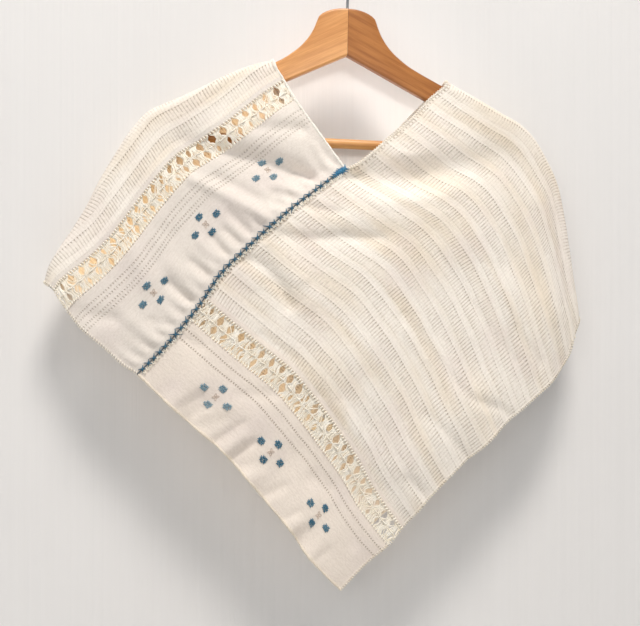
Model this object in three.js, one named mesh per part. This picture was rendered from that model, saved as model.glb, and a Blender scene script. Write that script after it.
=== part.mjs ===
import * as THREE from 'three';

// A two-web poncho of handwoven cotton on a contoured wooden hanger. Millimetres, Z up,
// X across the front, Y away from the viewer. The origin is the inside of the hook's crown.

// cloth
const CLOTH = 1.6;            // cloth thickness
const WEB_WIDTH = 350;        // loom width of each web
const WEB_LENGTH = 620;       // cut length of each web
const SEAM_GAP = 0.6;         // between the two webs along a joining
const CELL = 18;              // row pitch of the plain weave
const COLUMNS = 24;           // columns across a web, one per openwork repeat

// openwork, the same band near both ends of each web
const LEFT_BAND = 109.5;      // band centre from the web's end
const RIGHT_BAND = 89.5;
const BAND_ROW = 9;           // height of each of its two rows of gaps
const GAP_LENGTH = 7.4;
const GAP_WIDTH = 7.2;
const GAP_SLANT = 1.2;        // how far a gap's tip leans sideways

// joining stitches
const JOIN_WIDTH = 3.6;
const JOIN_HEIGHT = 1.0;
const CLEAR = 0.3;            // between pieces that rest on each other

// hanger
const ROLL = 1.0;             // degrees the loaded hanger tips to the viewer's right
const SET_BACK = 0.09;        // how far each arm sweeps back per mm from the middle
const ARM_HALF = 5.7;         // half thickness of an arm
const ARM_ROUND = 2.6;        // its rounded edges
const BAR_RADIUS = 5.5;
const BAR_Y = 16.0;
const BAR_Z = -212.0;
const BAR_HALF = 184.0;
const ROD_RADIUS = 1.5;       // hook wire
const HOOK_RADIUS = 21;       // of the hook's centre line
const HUB_TOP = -66;

// Arm outline from the hub's crown along the top, round the tip and back: x, z.
const ARM_OUTLINE = [
  [0.15, -66.0], [11.0, -66.4], [20.0, -68.4], [26.0, -71.0], [31.3, -75.0],
  [34.6, -83.5], [39.5, -94.0], [45.5, -102.8], [52.5, -110.3], [61.0, -117.2],
  [71.0, -124.0], [84.0, -130.6], [108.0, -141.4], [135.0, -152.6], [160.0, -163.6],
  [186.0, -175.2], [206.0, -184.6], [214.0, -190.0], [217.0, -198.0], [216.0, -212.0],
  [211.0, -219.0], [202.0, -221.0], [192.0, -219.0], [184.5, -206.0], [160.0, -191.0],
  [130.0, -176.6], [94.0, -160.9], [68.0, -149.2], [34.0, -133.5], [0.15, -118.0],
];

// Each ridge line runs from the neck edge to the side corner: x, y, z of the top of the
// fold and the fold's radius.
const LEFT_RIDGE = [
  [-83.0, 7.6, -124.2, 9.4], [-107.0, 9.6, -130.4, 9.4], [-137.4, 12.3, -143.2, 9.4],
  [-161.3, 14.4, -155.6, 9.4], [-188.3, 16.9, -168.4, 9.4], [-219.0, 19.4, -183.2, 9.6],
  [-231.6, 19.6, -196.6, 9.8], [-241.5, 19.0, -210.6, 10.0], [-257.4, 18.0, -237.0, 10.4],
  [-272.0, 17.0, -263.4, 10.8], [-284.6, 16.0, -289.6, 11.2], [-300.0, 14.5, -315.6, 11.5],
  [-314.0, 13.0, -337.4, 12.0], [-322.6, 12.2, -354.0, 12.0], [-326.6, 12.0, -370.0, 12.0],
];
const RIGHT_RIDGE = [
  [114.0, 10.4, -138.4, 9.4], [130.0, 11.8, -146.6, 9.4], [156.6, 14.0, -159.0, 9.4],
  [181.4, 16.3, -171.4, 9.4], [206.0, 18.4, -183.6, 9.6], [222.0, 19.6, -197.4, 10.0],
  [238.8, 19.0, -224.4, 10.4], [251.0, 18.0, -252.0, 11.2], [259.6, 17.0, -293.0, 12.0],
  [264.8, 16.0, -328.0, 12.6], [269.6, 15.0, -363.0, 13.2], [273.4, 14.4, -387.0, 13.6],
  [275.8, 14.0, -408.0, 14.0],
];

// The joinings, from the point of the V to the hem: x, y, z.
const FRONT_JOIN = [
  [-4.6, -7, -243.0], [-56.0, -12, -281.8], [-86.6, -15, -307.4], [-115.8, -18, -334.7],
  [-142.4, -20, -361.7], [-163.5, -21, -393.4], [-182.4, -21, -416.8], [-200.0, -20, -437.8],
  [-228.6, -17, -466.6],
];
const BACK_JOIN = [
  [1.0, 29, -250.0], [45.0, 30, -293.0], [86.0, 31, -338.0], [124.0, 31, -384.0],
  [160.0, 30, -430.0], [204.0, 29, -489.0],
];

// Neck edges from the V up to the fold over the arm: x, y, z.
const LEFT_NECK = [[-15.5, -7, -228.4], [-28.7, -6.5, -210.6], [-43.9, -5.5, -189.9],
  [-61.1, -4, -165.7], [-72.0, -2.6, -146.8]];
const RIGHT_NECK = [[7.9, -7, -237.1], [23.3, -7, -225.5], [46.7, -6, -204.8],
  [70.3, -4, -184.5], [92.0, -0.5, -161.5]];
const LEFT_NECK_BACK = [[-22.0, 27.5, -222.0], [-46.0, 23.5, -186.0], [-68.0, 18.5, -150.0]];
const RIGHT_NECK_BACK = [[26.0, 27.5, -228.0], [60.0, 24.5, -194.0], [92.0, 20.5, -161.0]];

// Hems: x, y, z.
const LEFT_HEM = [[-245.6, -15, -455.6], [-259.0, -13, -443.0], [-273.5, -11, -430.4],
  [-288.0, -8, -417.8], [-298.4, -6, -405.2], [-307.0, -4, -392.6]];
const FREE_END = [[-202.0, -20, -493.0], [-173.8, -22, -519.2], [-142.4, -24, -546.6],
  [-109.7, -25, -584.0], [-88.6, -26, -609.6], [-67.1, -26, -635.9], [-50.8, -26, -661.0],
  [-25.0, -25, -689.7], [-12.5, -24, -702.0]];
const RIGHT_HEM = [[10.4, -25, -678.4], [39.1, -26, -653.2], [64.5, -27, -627.8],
  [87.1, -27, -602.4], [114.3, -26, -576.8], [145.9, -24, -551.5], [175.2, -21, -526.0],
  [209.3, -15, -500.2], [239.5, -8, -474.4], [257.0, -3, -453.0]];
const RIGHT_HEM_BACK = [[250.0, 28.5, -448.0], [228.0, 29, -469.0]];
const LEFT_HEM_BACK = [[-300.0, 25, -392.0], [-262.0, 27, -424.0], [-222.0, 28, -456.0],
  [-165.0, 30, -510.0], [-104.0, 30, -572.0], [-52.0, 30, -634.0]];
const BACK_TIP = [-8, 29, -688];
const FREE_END_BACK = [[152.0, 30, -536.0], [94.0, 31, -588.0], [42.0, 31, -638.0]];

// Where each web crests over the arm, counted from its front end: at the neck, middle, hem.
const LEFT_CREST = [154, 184, 141];
const RIGHT_CREST = [464, 467, 452];

// Soft folds of the front and the back: a line x0, z0 to x1, z1, its half width, and how
// far it stands forward (+) or sinks back (-).
const FRONT_FOLDS = [
  [10, -262, 90, -250, 22, -4.5], [90, -250, 180, -226, 24, -3.2],
  [-178, -224, -62, -262, 24, -5.0], [-190, -262, -90, -300, 20, 2.5],
  [5, -296, 105, -288, 20, 2.5], [-52, -330, 46, -316, 17, -3.2],
  [-84, -352, -46, -388, 12, 2.6], [150, -330, 215, -420, 42, 5.0],
  [60, -420, 175, -330, 34, -3.0], [70, -560, 140, -500, 34, 4.5],
  [-40, -470, 60, -420, 26, 2.6], [-60, -560, 20, -600, 30, -3.4],
  [-165, -470, -110, -520, 22, 2.4], [225, -270, 240, -400, 18, 3.0],
];
const BACK_FOLDS = [
  [-185, -214, 185, -216, 44, -6.0], [-200, -300, -60, -560, 30, 4.0],
  [-20, -330, 60, -600, 34, -4.0], [-120, -320, -20, -600, 28, 3.5],
  [180, -300, 120, -480, 30, -3.5], [-250, -310, -180, -430, 24, -3.0],
];

const evenly = (n, a = 0, b = 1) => Array.from({ length: n + 1 }, (_, i) => a + (b - a) * i / n);
const v3 = (x, y, z) => new THREE.Vector3(x, y, z);
const rows = (list) => list.map((p) => v3(p[0], p[1], p[2]));
const line = (points) => {
  const c = new THREE.CatmullRomCurve3(points, false, 'centripetal');
  c.arcLengthDivisions = 400;
  return (u) => c.getPointAt(Math.min(1, Math.max(0, u)));
};
const smooth = (a, b, x) => {
  const u = Math.min(1, Math.max(0, (x - a) / (b - a)));
  return u * u * (3 - 2 * u);
};
const through = (values, s) => {
  const [a, b, c] = values;
  return a * (1 - s) * (1 - 2 * s) + 4 * b * s * (1 - s) + c * s * (2 * s - 1);
};

// A joining's points moved sideways by half the seam gap, to one web or the other.
function beside(points, side) {
  return points.map((p, i) => {
    const t = points[Math.min(i + 1, points.length - 1)].clone()
      .sub(points[Math.max(i - 1, 0)]).normalize();
    return p.clone().add(v3(t.z, 0, -t.x).normalize().multiplyScalar(side * SEAM_GAP / 2));
  });
}

// The fold over the arm: its ridge, its radius, and its points at an angle round it. At the
// hem the cloth below the ridge hangs lower than the ridge by the lag.
function makeFold(table, lag) {
  const ridge = line(rows(table));
  const radii = line(table.map((p) => v3(p[0], p[3], p[2])));
  const frame = (s) => {
    const p = ridge(s);
    const t = ridge(Math.min(1, s + 0.01)).sub(ridge(Math.max(0, s - 0.01)));
    const out = v3(-t.z, 0, t.x).normalize();
    if (out.z < 0) out.negate();
    const r = radii(s).y;
    return { centre: p.clone().addScaledVector(out, -r), out, r, along: t.normalize() };
  };
  return {
    radius: (s) => radii(s).y,
    at: (s, angle) => {
      const f = frame(s), sweep = lag * smooth(0.7, 1, s) * (1 - Math.sin(angle));
      return f.centre.clone().addScaledVector(f.out, f.r * Math.sin(angle))
        .add(v3(0, -f.r * Math.cos(angle), 0)).addScaledVector(f.along, sweep);
    },
  };
}

// A patch between four edges: s runs from the first side to the second, w from end to top.
function patch(end, top, side0, side1) {
  const c00 = end(0), c10 = end(1), c01 = top(0), c11 = top(1);
  return (s, w) => {
    const p = end(s).multiplyScalar(1 - w).add(top(s).multiplyScalar(w));
    p.add(side0(w).multiplyScalar(1 - s)).add(side1(w).multiplyScalar(s));
    p.addScaledVector(c00, -(1 - s) * (1 - w)).addScaledVector(c10, -s * (1 - w));
    return p.addScaledVector(c01, -(1 - s) * w).addScaledVector(c11, -s * w);
  };
}

function foldDepth(table, p) {
  let sum = 0;
  for (const [x0, z0, x1, z1, wide, high] of table) {
    const dx = x1 - x0, dz = z1 - z0;
    const u = ((p.x - x0) * dx + (p.z - z0) * dz) / (dx * dx + dz * dz);
    const k = Math.min(1, Math.max(0, u));
    const d2 = (p.x - x0 - k * dx) ** 2 + (p.z - z0 - k * dz) ** 2;
    sum += high * Math.exp(-d2 / (wide * wide));
  }
  return sum;
}

// A web as a function of s (0 neck side, 1 hem side) and t (mm from its front end).
function makeWeb(spec) {
  const fold = makeFold(spec.ridge, spec.lag);
  const top = (s) => fold.at(s, 0), low = (s) => fold.at(s, Math.PI);
  const front = patch(line(spec.frontEnd), top,
    line([...spec.frontNeck, top(0)]), line([...spec.frontHem, top(1)]));
  const back = patch(low, line(spec.backEnd),
    line([low(0), ...spec.backNeck]), line([low(1), ...spec.backHem]));
  const crest = (s) => through(spec.crest, s);
  const half = (s) => Math.PI * fold.radius(s) / 2;
  const place = (s, t) => {
    const t0 = crest(s) - half(s), t1 = crest(s) + half(s);
    if (t > t0 && t < t1) return fold.at(s, Math.PI * (t - t0) / (t1 - t0));
    const p = t <= t0 ? front(s, t / t0) : back(s, (t - t1) / (WEB_LENGTH - t1));
    const off = Math.min(1, Math.abs(t <= t0 ? t0 - t : t - t1) / 40);
    if (t <= t0) p.y -= smooth(0, 1, off) * foldDepth(FRONT_FOLDS, p);
    else p.y += smooth(0, 1, off) * -foldDepth(BACK_FOLDS, p);
    p.y += spec.ripple(s, t);
    return p;
  };
  return { place, crest, half, band: spec.band };
}

// Gathers where a web's end is eased into the joining, and slack waves on the loose hems.
const gathers = (s, d) => 1.7 * smooth(3, 11, d) * Math.exp(-Math.max(0, d - 11) / 12)
  * (Math.sin(2 * Math.PI * 20.3 * s) + 0.45 * Math.sin(2 * Math.PI * 13.1 * s + 1))
  * smooth(0, 0.03, s) * smooth(1, 0.97, s);
const waves = (along, away, pitch, high) => high * Math.exp(-away / 26)
  * Math.sin(2 * Math.PI * along / pitch) * smooth(6, 40, along);

const [frontJoin, backJoin] = [FRONT_JOIN, BACK_JOIN]
  .map((table) => evenly(24).map(line(rows(table))));
const tip = rows(FREE_END).at(-1), backTip = v3(...BACK_TIP);
const frontA = beside(frontJoin, 1), frontB = beside(frontJoin, -1);
const backA = beside(backJoin, 1), backB = beside(backJoin, -1);

const LEFT = makeWeb({
  ridge: LEFT_RIDGE, lag: 5, crest: LEFT_CREST, band: LEFT_BAND,
  frontEnd: frontA, frontNeck: [frontA[0], ...rows(LEFT_NECK)],
  frontHem: [frontA.at(-1), ...rows(LEFT_HEM)],
  backEnd: [backA.at(-1), ...rows(FREE_END_BACK), backTip],
  backNeck: [...rows(LEFT_NECK_BACK).reverse(), ...backA],
  backHem: [...rows(LEFT_HEM_BACK), backTip],
  ripple: (s, t) => gathers(s, t) + waves(t, (1 - s) * WEB_WIDTH, 74, 1.6)
    + waves(s * WEB_WIDTH, WEB_LENGTH - t, 88, 2.6),
});
const RIGHT = makeWeb({
  ridge: RIGHT_RIDGE, lag: 20, crest: RIGHT_CREST, band: RIGHT_BAND,
  frontEnd: [frontB.at(-1), ...rows(FREE_END)],
  frontNeck: [...frontB.slice().reverse(), ...rows(RIGHT_NECK)],
  frontHem: [tip, ...rows(RIGHT_HEM)],
  backEnd: backB, backNeck: [...rows(RIGHT_NECK_BACK).reverse(), backB[0]],
  backHem: [...rows(RIGHT_HEM_BACK), backB.at(-1)],
  ripple: (s, t) => waves(s * WEB_WIDTH, t, 58, 3.4) + gathers(s, WEB_LENGTH - t)
    + waves(t, (1 - s) * WEB_WIDTH, 92, 2.2) * smooth(6, 40, WEB_LENGTH - t),
});

// A sheet of triangles over s and t, thickened to a closed solid.
class Sheet {
  constructor(place, flip) {
    this.place = place;
    this.flip = flip;
    this.points = [];
    this.keys = [];
    this.faces = [];
  }

  point(s, t) {
    this.points.push(this.place(s, t));
    this.keys.push([s, t]);
    return this.points.length - 1;
  }

  row(at, columns) {
    return columns.map((s) => this.point(s, typeof at === 'function' ? at(s) : at));
  }

  face(a, b, c) { this.faces.push(this.flip ? [a, c, b] : [a, b, c]); }

  // Joins two rows of points that run the same way, whatever their counts.
  strip(lower, upper) {
    let i = 0, j = 0;
    while (i < lower.length - 1 || j < upper.length - 1) {
      const si = i < lower.length - 1 ? this.keys[lower[i + 1]][0] : Infinity;
      const sj = j < upper.length - 1 ? this.keys[upper[j + 1]][0] : Infinity;
      const even = (i + j) % 2 ? 1e-6 : -1e-6;
      if (si < sj + even) this.face(lower[i], lower[++i], upper[j]);
      else this.face(lower[i], upper[j + 1], upper[j++]);
    }
  }

  // A cell with a slanting leaf of a gap in it; its corners go round the same way as s, t.
  gap(outer) {
    const mid = [0, 1].map((k) => (Math.min(...outer.map((i) => this.keys[i][k]))
      + Math.max(...outer.map((i) => this.keys[i][k]))) / 2);
    const dot = (ds, dt) => this.point(mid[0] + ds / WEB_WIDTH, mid[1] + dt);
    const a = GAP_LENGTH / 2, b = GAP_WIDTH / 2;
    const inner = [dot(-GAP_SLANT, -a), dot(b, -0.6), dot(GAP_SLANT, a), dot(-b, 0.6)];
    const turn = (i) => {
      const [s, t] = this.keys[i];
      const angle = Math.atan2(t - mid[1], (s - mid[0]) * WEB_WIDTH) + Math.PI;
      return angle;
    };
    const sort = (list) => list.slice().sort((p, q) => turn(p) - turn(q));
    const o = sort(outer), n = sort(inner);
    let i = 0, j = 0;
    while (i < o.length || j < n.length) {
      const ti = i < o.length ? turn(o[(i + 1) % o.length]) + (i + 1 >= o.length ? 7 : 0) : 99;
      const tj = j < n.length ? turn(n[(j + 1) % n.length]) + (j + 1 >= n.length ? 7 : 0) : 99;
      const p = o[i % o.length], q = n[j % n.length];
      if (ti <= tj) this.face(p, o[++i % o.length], q);
      else this.face(p, n[++j % n.length], q);
    }
  }

  // Outer skin, inner skin and the walls along every free edge.
  solid(thickness, normalAt) {
    const n = this.points.map(() => v3(0, 0, 0));
    for (const [a, b, c] of this.faces) {
      const p = this.points[a];
      const m = this.points[b].clone().sub(p).cross(this.points[c].clone().sub(p));
      for (const i of [a, b, c]) n[i].add(m);
    }
    n.forEach((m, i) => m.copy(normalAt?.(this.keys[i], this.points[i]) ?? m).normalize());
    const count = this.points.length, out = [], index = [], edges = new Map();
    for (const side of [0.5, -0.5]) {
      this.points.forEach((p, i) => {
        const q = p.clone().addScaledVector(n[i], side * thickness);
        out.push(q.x, q.y, q.z);
      });
    }
    for (const [a, b, c] of this.faces) {
      index.push(a, b, c, a + count, c + count, b + count);
      for (const [u, w] of [[a, b], [b, c], [c, a]]) {
        if (edges.has(`${w},${u}`)) edges.delete(`${w},${u}`);
        else edges.set(`${u},${w}`, [u, w]);
      }
    }
    for (const [u, w] of edges.values()) {
      index.push(w, u, u + count, w, u + count, w + count);
    }
    const g = new THREE.BufferGeometry();
    g.setAttribute('position', new THREE.Float32BufferAttribute(out, 3));
    g.setIndex(index);
    return g;
  }
}

const plain = evenly(COLUMNS), fine = evenly(COLUMNS * 2);

// The openwork: two rows of gaps, one over the other, parted by a laid thread.
function openwork(sheet, before, centre) {
  const rows = [-1, 0, 1].map((k) => sheet.row(centre + k * BAND_ROW, plain));
  sheet.strip(before, rows[0]);
  for (const [low, high] of [[rows[0], rows[1]], [rows[1], rows[2]]]) {
    for (let k = 0; k < COLUMNS; k++) {
      sheet.gap([low[k], low[k + 1], high[k + 1], high[k]]);
    }
  }
  return rows[2];
}

function webMesh(web, sewnFirst, flip, normalAt) {
  const sheet = new Sheet(web.place, flip);
  const sewn = [5, 12, 21, 33].map((d) => [d, fine]);
  const loose = [14, 30].map((d) => [d, plain]);
  const near = sewnFirst ? sewn : loose;
  const far = (sewnFirst ? loose : sewn).map(([d, c]) => [WEB_LENGTH - d, c]).reverse();
  const band0 = web.band - BAND_ROW, band1 = web.band + BAND_ROW;
  const between = (a, b) => evenly(Math.max(1, Math.round((b - a) / CELL)), a, b)
    .slice(1, -1).map((t) => [t, plain]);
  const round = (k) => (s) => web.crest(s) + (k * 2 / 5 - 1) * web.half(s);
  const t0 = Math.min(...plain.map(round(0))) - 9, t1 = Math.max(...plain.map(round(5))) + 9;
  let last = sheet.row(0, sewnFirst ? fine : plain);
  const add = (list) => list.forEach(([t, columns]) => {
    const next = sheet.row(t, columns);
    sheet.strip(last, next);
    last = next;
  });
  add([...near, ...between(near.at(-1)[0], band0)]);
  last = openwork(sheet, last, web.band);
  if (t0 - band1 > 8) add([...between(band1, t0), [t0, plain]]);
  add([0, 1, 2, 3, 4, 5].map((k) => [round(k), plain]));
  if (WEB_LENGTH - band1 - t1 > 8) add([[t1, plain], ...between(t1, WEB_LENGTH - band1)]);
  last = openwork(sheet, last, WEB_LENGTH - web.band);
  add([...between(WEB_LENGTH - band0, far[0][0]), ...far]);
  add([[WEB_LENGTH, sewnFirst ? plain : fine]]);
  return sheet.solid(CLOTH, normalAt);
}

// Along a joining both webs share one normal, so their edges stand parallel.
function joinNormal(join, outward) {
  const curve = line(join), last = 120;
  const at = evenly(last).map((u) => curve(u));
  return (p) => {
    let best = 0;
    at.forEach((q, i) => { if (q.distanceToSquared(p) < at[best].distanceToSquared(p)) best = i; });
    const t = at[Math.min(best + 1, last)].clone().sub(at[Math.max(best - 1, 0)]).normalize();
    return v3(0, outward, 0).addScaledVector(t, -outward * t.y).normalize();
  };
}
const frontNormal = joinNormal(frontJoin, -1), backNormal = joinNormal(backJoin, 1);
const leftNormal = ([s, t], p) => {
  if (t === 0) return frontNormal(p);
  return s === 0 && t > LEFT_CREST[1] && p.z < backJoin[0].z ? backNormal(p) : null;
};
const rightNormal = ([s, t], p) => {
  if (t === WEB_LENGTH) return backNormal(p);
  return s === 0 && t < RIGHT_CREST[1] - 60 && p.z < frontJoin[0].z ? frontNormal(p) : null;
};

// A raised joining worked over the seam, made from both webs' points moved out.
function joining(join, normalAt, turned, leftEdge, leftIn, rightEdge, rightIn) {
  const curve = line(join), half = JOIN_WIDTH / 2, count = 34, out = [], index = [];
  const nearest = (edge, p) => {
    let best = 0, d = Infinity;
    for (let k = 0; k <= 600; k++) {
      const q = edge(k / 600).distanceToSquared(p);
      if (q < d) { d = q; best = k / 600; }
    }
    return best;
  };
  for (const u of evenly(count, 0.02, 0.98)) {
    const p = curve(u), n = normalAt(p);
    const a = leftIn(nearest(leftEdge, p), half), b = rightIn(nearest(rightEdge, p), half);
    const a0 = leftIn(nearest(leftEdge, p), 0), b0 = rightIn(nearest(rightEdge, p), 0);
    const mid = a0.add(b0).multiplyScalar(0.5);
    for (const [q, up] of [[a, 0], [mid, 0.1], [b, 0], [b, JOIN_HEIGHT * 0.7],
      [mid, JOIN_HEIGHT + 0.2], [a, JOIN_HEIGHT * 0.7]]) {
      const m = q.clone().addScaledVector(n, CLOTH / 2 + CLEAR * 2 + up);
      out.push(m.x, m.y, m.z);
    }
  }
  for (let i = 0; i < count; i++) {
    for (let k = 0; k < 6; k++) {
      const [k0, k1] = turned ? [(k + 1) % 6, k] : [k, (k + 1) % 6];
      const a = i * 6 + k0, b = i * 6 + k1;
      index.push(a, b, b + 6, a, b + 6, a + 6);
    }
  }
  for (const [base, turn] of [[0, 1], [count * 6, 0]]) {
    for (const [a, b, c] of [[0, 1, 4], [1, 2, 3], [1, 3, 4], [0, 4, 5]]) {
      const flip = turn !== Number(turned);
      index.push(base + a, base + (flip ? c : b), base + (flip ? b : c));
    }
  }
  const g = new THREE.BufferGeometry();
  g.setAttribute('position', new THREE.Float32BufferAttribute(out, 3));
  g.setIndex(index);
  return g;
}

// One arm of the hanger: the outline with its long edges rounded, swept back from the middle.
function arm(side) {
  const n = ARM_OUTLINE.length, out = [], index = [];
  const inset = (i, d) => {
    const [x, z] = ARM_OUTLINE[i];
    const a = ARM_OUTLINE[(i + n - 1) % n], b = ARM_OUTLINE[(i + 1) % n];
    const e = [[x - a[0], z - a[1]], [b[0] - x, b[1] - z]].map(([p, q]) => {
      const l = Math.hypot(p, q);
      return [q / l, -p / l];
    });
    if (i === 0) return [x, z - d];
    if (i === n - 1) return [x, z + d];
    const m = [e[0][0] + e[1][0], e[0][1] + e[1][1]];
    const k = 2 * d / (m[0] ** 2 + m[1] ** 2);
    return [x + m[0] * k, z + m[1] * k];
  };
  const r = ARM_ROUND, f = r * 0.293;
  const layers = [[-ARM_HALF, r], [f - ARM_HALF, f], [r - ARM_HALF, 0],
    [ARM_HALF - r, 0], [ARM_HALF - f, f], [ARM_HALF, r]];
  for (const [y, d] of layers) {
    for (let i = 0; i < n; i++) {
      const [x, z] = inset(i, d);
      out.push(side * x, y + SET_BACK * x, z);
    }
  }
  const tri = (a, b, c) => (side > 0 ? index.push(a, b, c) : index.push(a, c, b));
  for (let k = 0; k < layers.length - 1; k++) {
    for (let i = 0; i < n; i++) {
      const a = k * n + i, b = k * n + (i + 1) % n;
      tri(a, b, b + n);
      tri(a, b + n, a + n);
    }
  }
  const face = THREE.ShapeUtils.triangulateShape(
    ARM_OUTLINE.map((_, i) => new THREE.Vector2(...inset(i, r))), []);
  const top = (layers.length - 1) * n;
  for (const [a, b, c] of face) {
    const [p, q, w] = [a, b, c].map((i) => ARM_OUTLINE[i]);
    const ccw = (q[0] - p[0]) * (w[1] - p[1]) > (q[1] - p[1]) * (w[0] - p[0]);
    tri(a, ccw ? b : c, ccw ? c : b);
    tri(top + a, top + (ccw ? c : b), top + (ccw ? b : c));
  }
  const g = new THREE.BufferGeometry();
  g.setAttribute('position', new THREE.Float32BufferAttribute(out, 3));
  g.setIndex(index);
  return g;
}

// A round wire along points in the XZ plane.
function wire(points, radius, sides) {
  const out = [], index = [], last = points.length - 1;
  points.forEach(([x, z], i) => {
    const a = points[Math.max(i - 1, 0)], b = points[Math.min(i + 1, last)];
    const l = Math.hypot(b[0] - a[0], b[1] - a[1]);
    const nx = (b[1] - a[1]) / l, nz = -(b[0] - a[0]) / l;
    for (let k = 0; k < sides; k++) {
      const c = radius * Math.cos(2 * Math.PI * k / sides);
      out.push(x + nx * c, radius * Math.sin(2 * Math.PI * k / sides), z + nz * c);
    }
  });
  for (let i = 0; i < last; i++) {
    for (let k = 0; k < sides; k++) {
      const a = i * sides + k, b = i * sides + (k + 1) % sides;
      index.push(a, b, b + sides, a, b + sides, a + sides);
    }
  }
  for (let k = 1; k < sides - 1; k++) {
    index.push(0, k + 1, k);
    index.push(last * sides, last * sides + k, last * sides + k + 1);
  }
  const g = new THREE.BufferGeometry();
  g.setAttribute('position', new THREE.Float32BufferAttribute(out, 3));
  g.setIndex(index);
  return g;
}

// The wire rises from the hub, bends to one side and closes over the crown at the origin.
const hookMid = ROD_RADIUS - HOOK_RADIUS;
const hookPath = [[0, HUB_TOP + CLEAR], [0, -58], [0.4, -53], [2.6, -47.6], [7, -42.2],
  [12.4, -36.4], ...evenly(16, -28, 200).map((a) => [HOOK_RADIUS * Math.cos(a * Math.PI / 180),
    hookMid + HOOK_RADIUS * Math.sin(a * Math.PI / 180)])];

const tipped = (g) => g.rotateY(ROLL * Math.PI / 180);
const bar = new THREE.CylinderGeometry(BAR_RADIUS, BAR_RADIUS, BAR_HALF * 2, 20)
  .rotateZ(Math.PI / 2).translate(0, BAR_Y, BAR_Z);

const cotton = { color: 0xefe6d2, roughness: 0.95 };
const thread = { color: 0x3f6f8c, roughness: 0.9 };
const oak = { color: 0xc9935a, roughness: 0.5 };
const steel = { color: 0x6d6f72, roughness: 0.35, metalness: 1 };

const part = new THREE.Group();
function add(name, geometry, material) {
  const mesh = new THREE.Mesh(geometry, new THREE.MeshStandardMaterial(material));
  mesh.name = name;
  part.add(mesh);
}

add('web_left', webMesh(LEFT, true, true, leftNormal), cotton);
add('web_right', webMesh(RIGHT, false, false, rightNormal), cotton);
add('joining_front', joining(frontJoin, frontNormal, false,
  (k) => LEFT.place(k, 0), (s, d) => LEFT.place(s, d),
  (k) => RIGHT.place(0, k * 400), (k, d) => RIGHT.place(d / WEB_WIDTH, k * 400)), thread);
add('joining_back', joining(backJoin, backNormal, true,
  (k) => LEFT.place(0, 240 + k * 380), (k, d) => LEFT.place(d / WEB_WIDTH, 240 + k * 380),
  (k) => RIGHT.place(k, WEB_LENGTH), (s, d) => RIGHT.place(s, WEB_LENGTH - d)), thread);
add('hanger_left', tipped(arm(-1)), oak);
add('hanger_right', tipped(arm(1)), oak);
add('hanger_bar', tipped(bar), oak);
add('hook', tipped(wire(hookPath, ROD_RADIUS, 8)), steel);

export default part;
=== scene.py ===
from math import pi, radians

import bpy
import numpy as np
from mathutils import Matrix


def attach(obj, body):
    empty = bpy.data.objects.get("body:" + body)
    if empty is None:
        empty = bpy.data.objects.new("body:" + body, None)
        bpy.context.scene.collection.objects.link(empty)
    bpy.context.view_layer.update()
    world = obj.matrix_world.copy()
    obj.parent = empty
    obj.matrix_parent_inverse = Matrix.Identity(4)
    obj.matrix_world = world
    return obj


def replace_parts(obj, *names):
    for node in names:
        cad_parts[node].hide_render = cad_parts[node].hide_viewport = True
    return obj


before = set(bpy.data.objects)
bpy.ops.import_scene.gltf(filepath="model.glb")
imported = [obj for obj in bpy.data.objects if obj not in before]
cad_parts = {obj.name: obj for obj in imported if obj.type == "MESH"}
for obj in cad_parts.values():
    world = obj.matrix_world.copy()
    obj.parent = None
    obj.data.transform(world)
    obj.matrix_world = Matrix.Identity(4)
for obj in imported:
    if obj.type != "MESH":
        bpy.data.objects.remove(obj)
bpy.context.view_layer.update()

# The camera stands level, a metre in front and a little to the left, and takes in the whole
# garment with the hanger's hook just past the upper edge.
bpy.ops.object.select_all(action="DESELECT")
bpy.ops.object.camera_add(location=(-0.1886, -0.9898, -0.40205),
                          rotation=(radians(90), 0, radians(-9)))
camera = bpy.context.object
camera.data.lens = 51.14
camera.data.sensor_width = 36
camera.data.clip_start = 0.05
bpy.context.scene.camera = camera
bpy.context.scene.view_settings.view_transform = "Standard"

# The room: a pale painted wall close behind the hanger, a pale floor far below, a wide soft
# light from above and in front, and a weak cool light from all round.
WALL_Y = 0.056
WALL_SIZE = 6
FLOOR_Z = -1.35
FLOOR_SIZE = 8
ROOM_LIGHT = 0.31


def operator(how, turned=False):
    """A method that works a sum on a socket and another socket or a number."""
    def work(self, other):
        first, second = (other, self) if turned else (self, other)
        return self.finish.node("Math", {"operation": how}, {0: first, 1: second})
    return work


class Socket:
    """An output of a node, which takes part in sums as a number does."""

    __add__, __radd__ = operator("ADD"), operator("ADD", True)
    __sub__, __rsub__ = operator("SUBTRACT"), operator("SUBTRACT", True)
    __mul__, __rmul__ = operator("MULTIPLY"), operator("MULTIPLY", True)
    __truediv__, __rtruediv__ = operator("DIVIDE"), operator("DIVIDE", True)

    def __init__(self, finish, out):
        self.finish, self.out = finish, out

    def alone(self, how):
        """A function of this value only."""
        return self.finish.node("Math", {"operation": how}, {0: self})

    def sine(self, period=1.0):
        """From -1 to 1, once a period."""
        return (self * (2 * pi / period)).alone("SINE")

    def step(self, low, high):
        """0 below low and 1 above high, smoothly."""
        return self.finish.node("MapRange", {"interpolation_type": "SMOOTHSTEP"},
                                {0: self, 1: low, 2: high})

    def near(self, centre, half):
        """1 at centre, falling to 0 at half away from it."""
        return 1 - (self - centre).alone("ABSOLUTE").step(half * 0.4, half)


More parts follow.
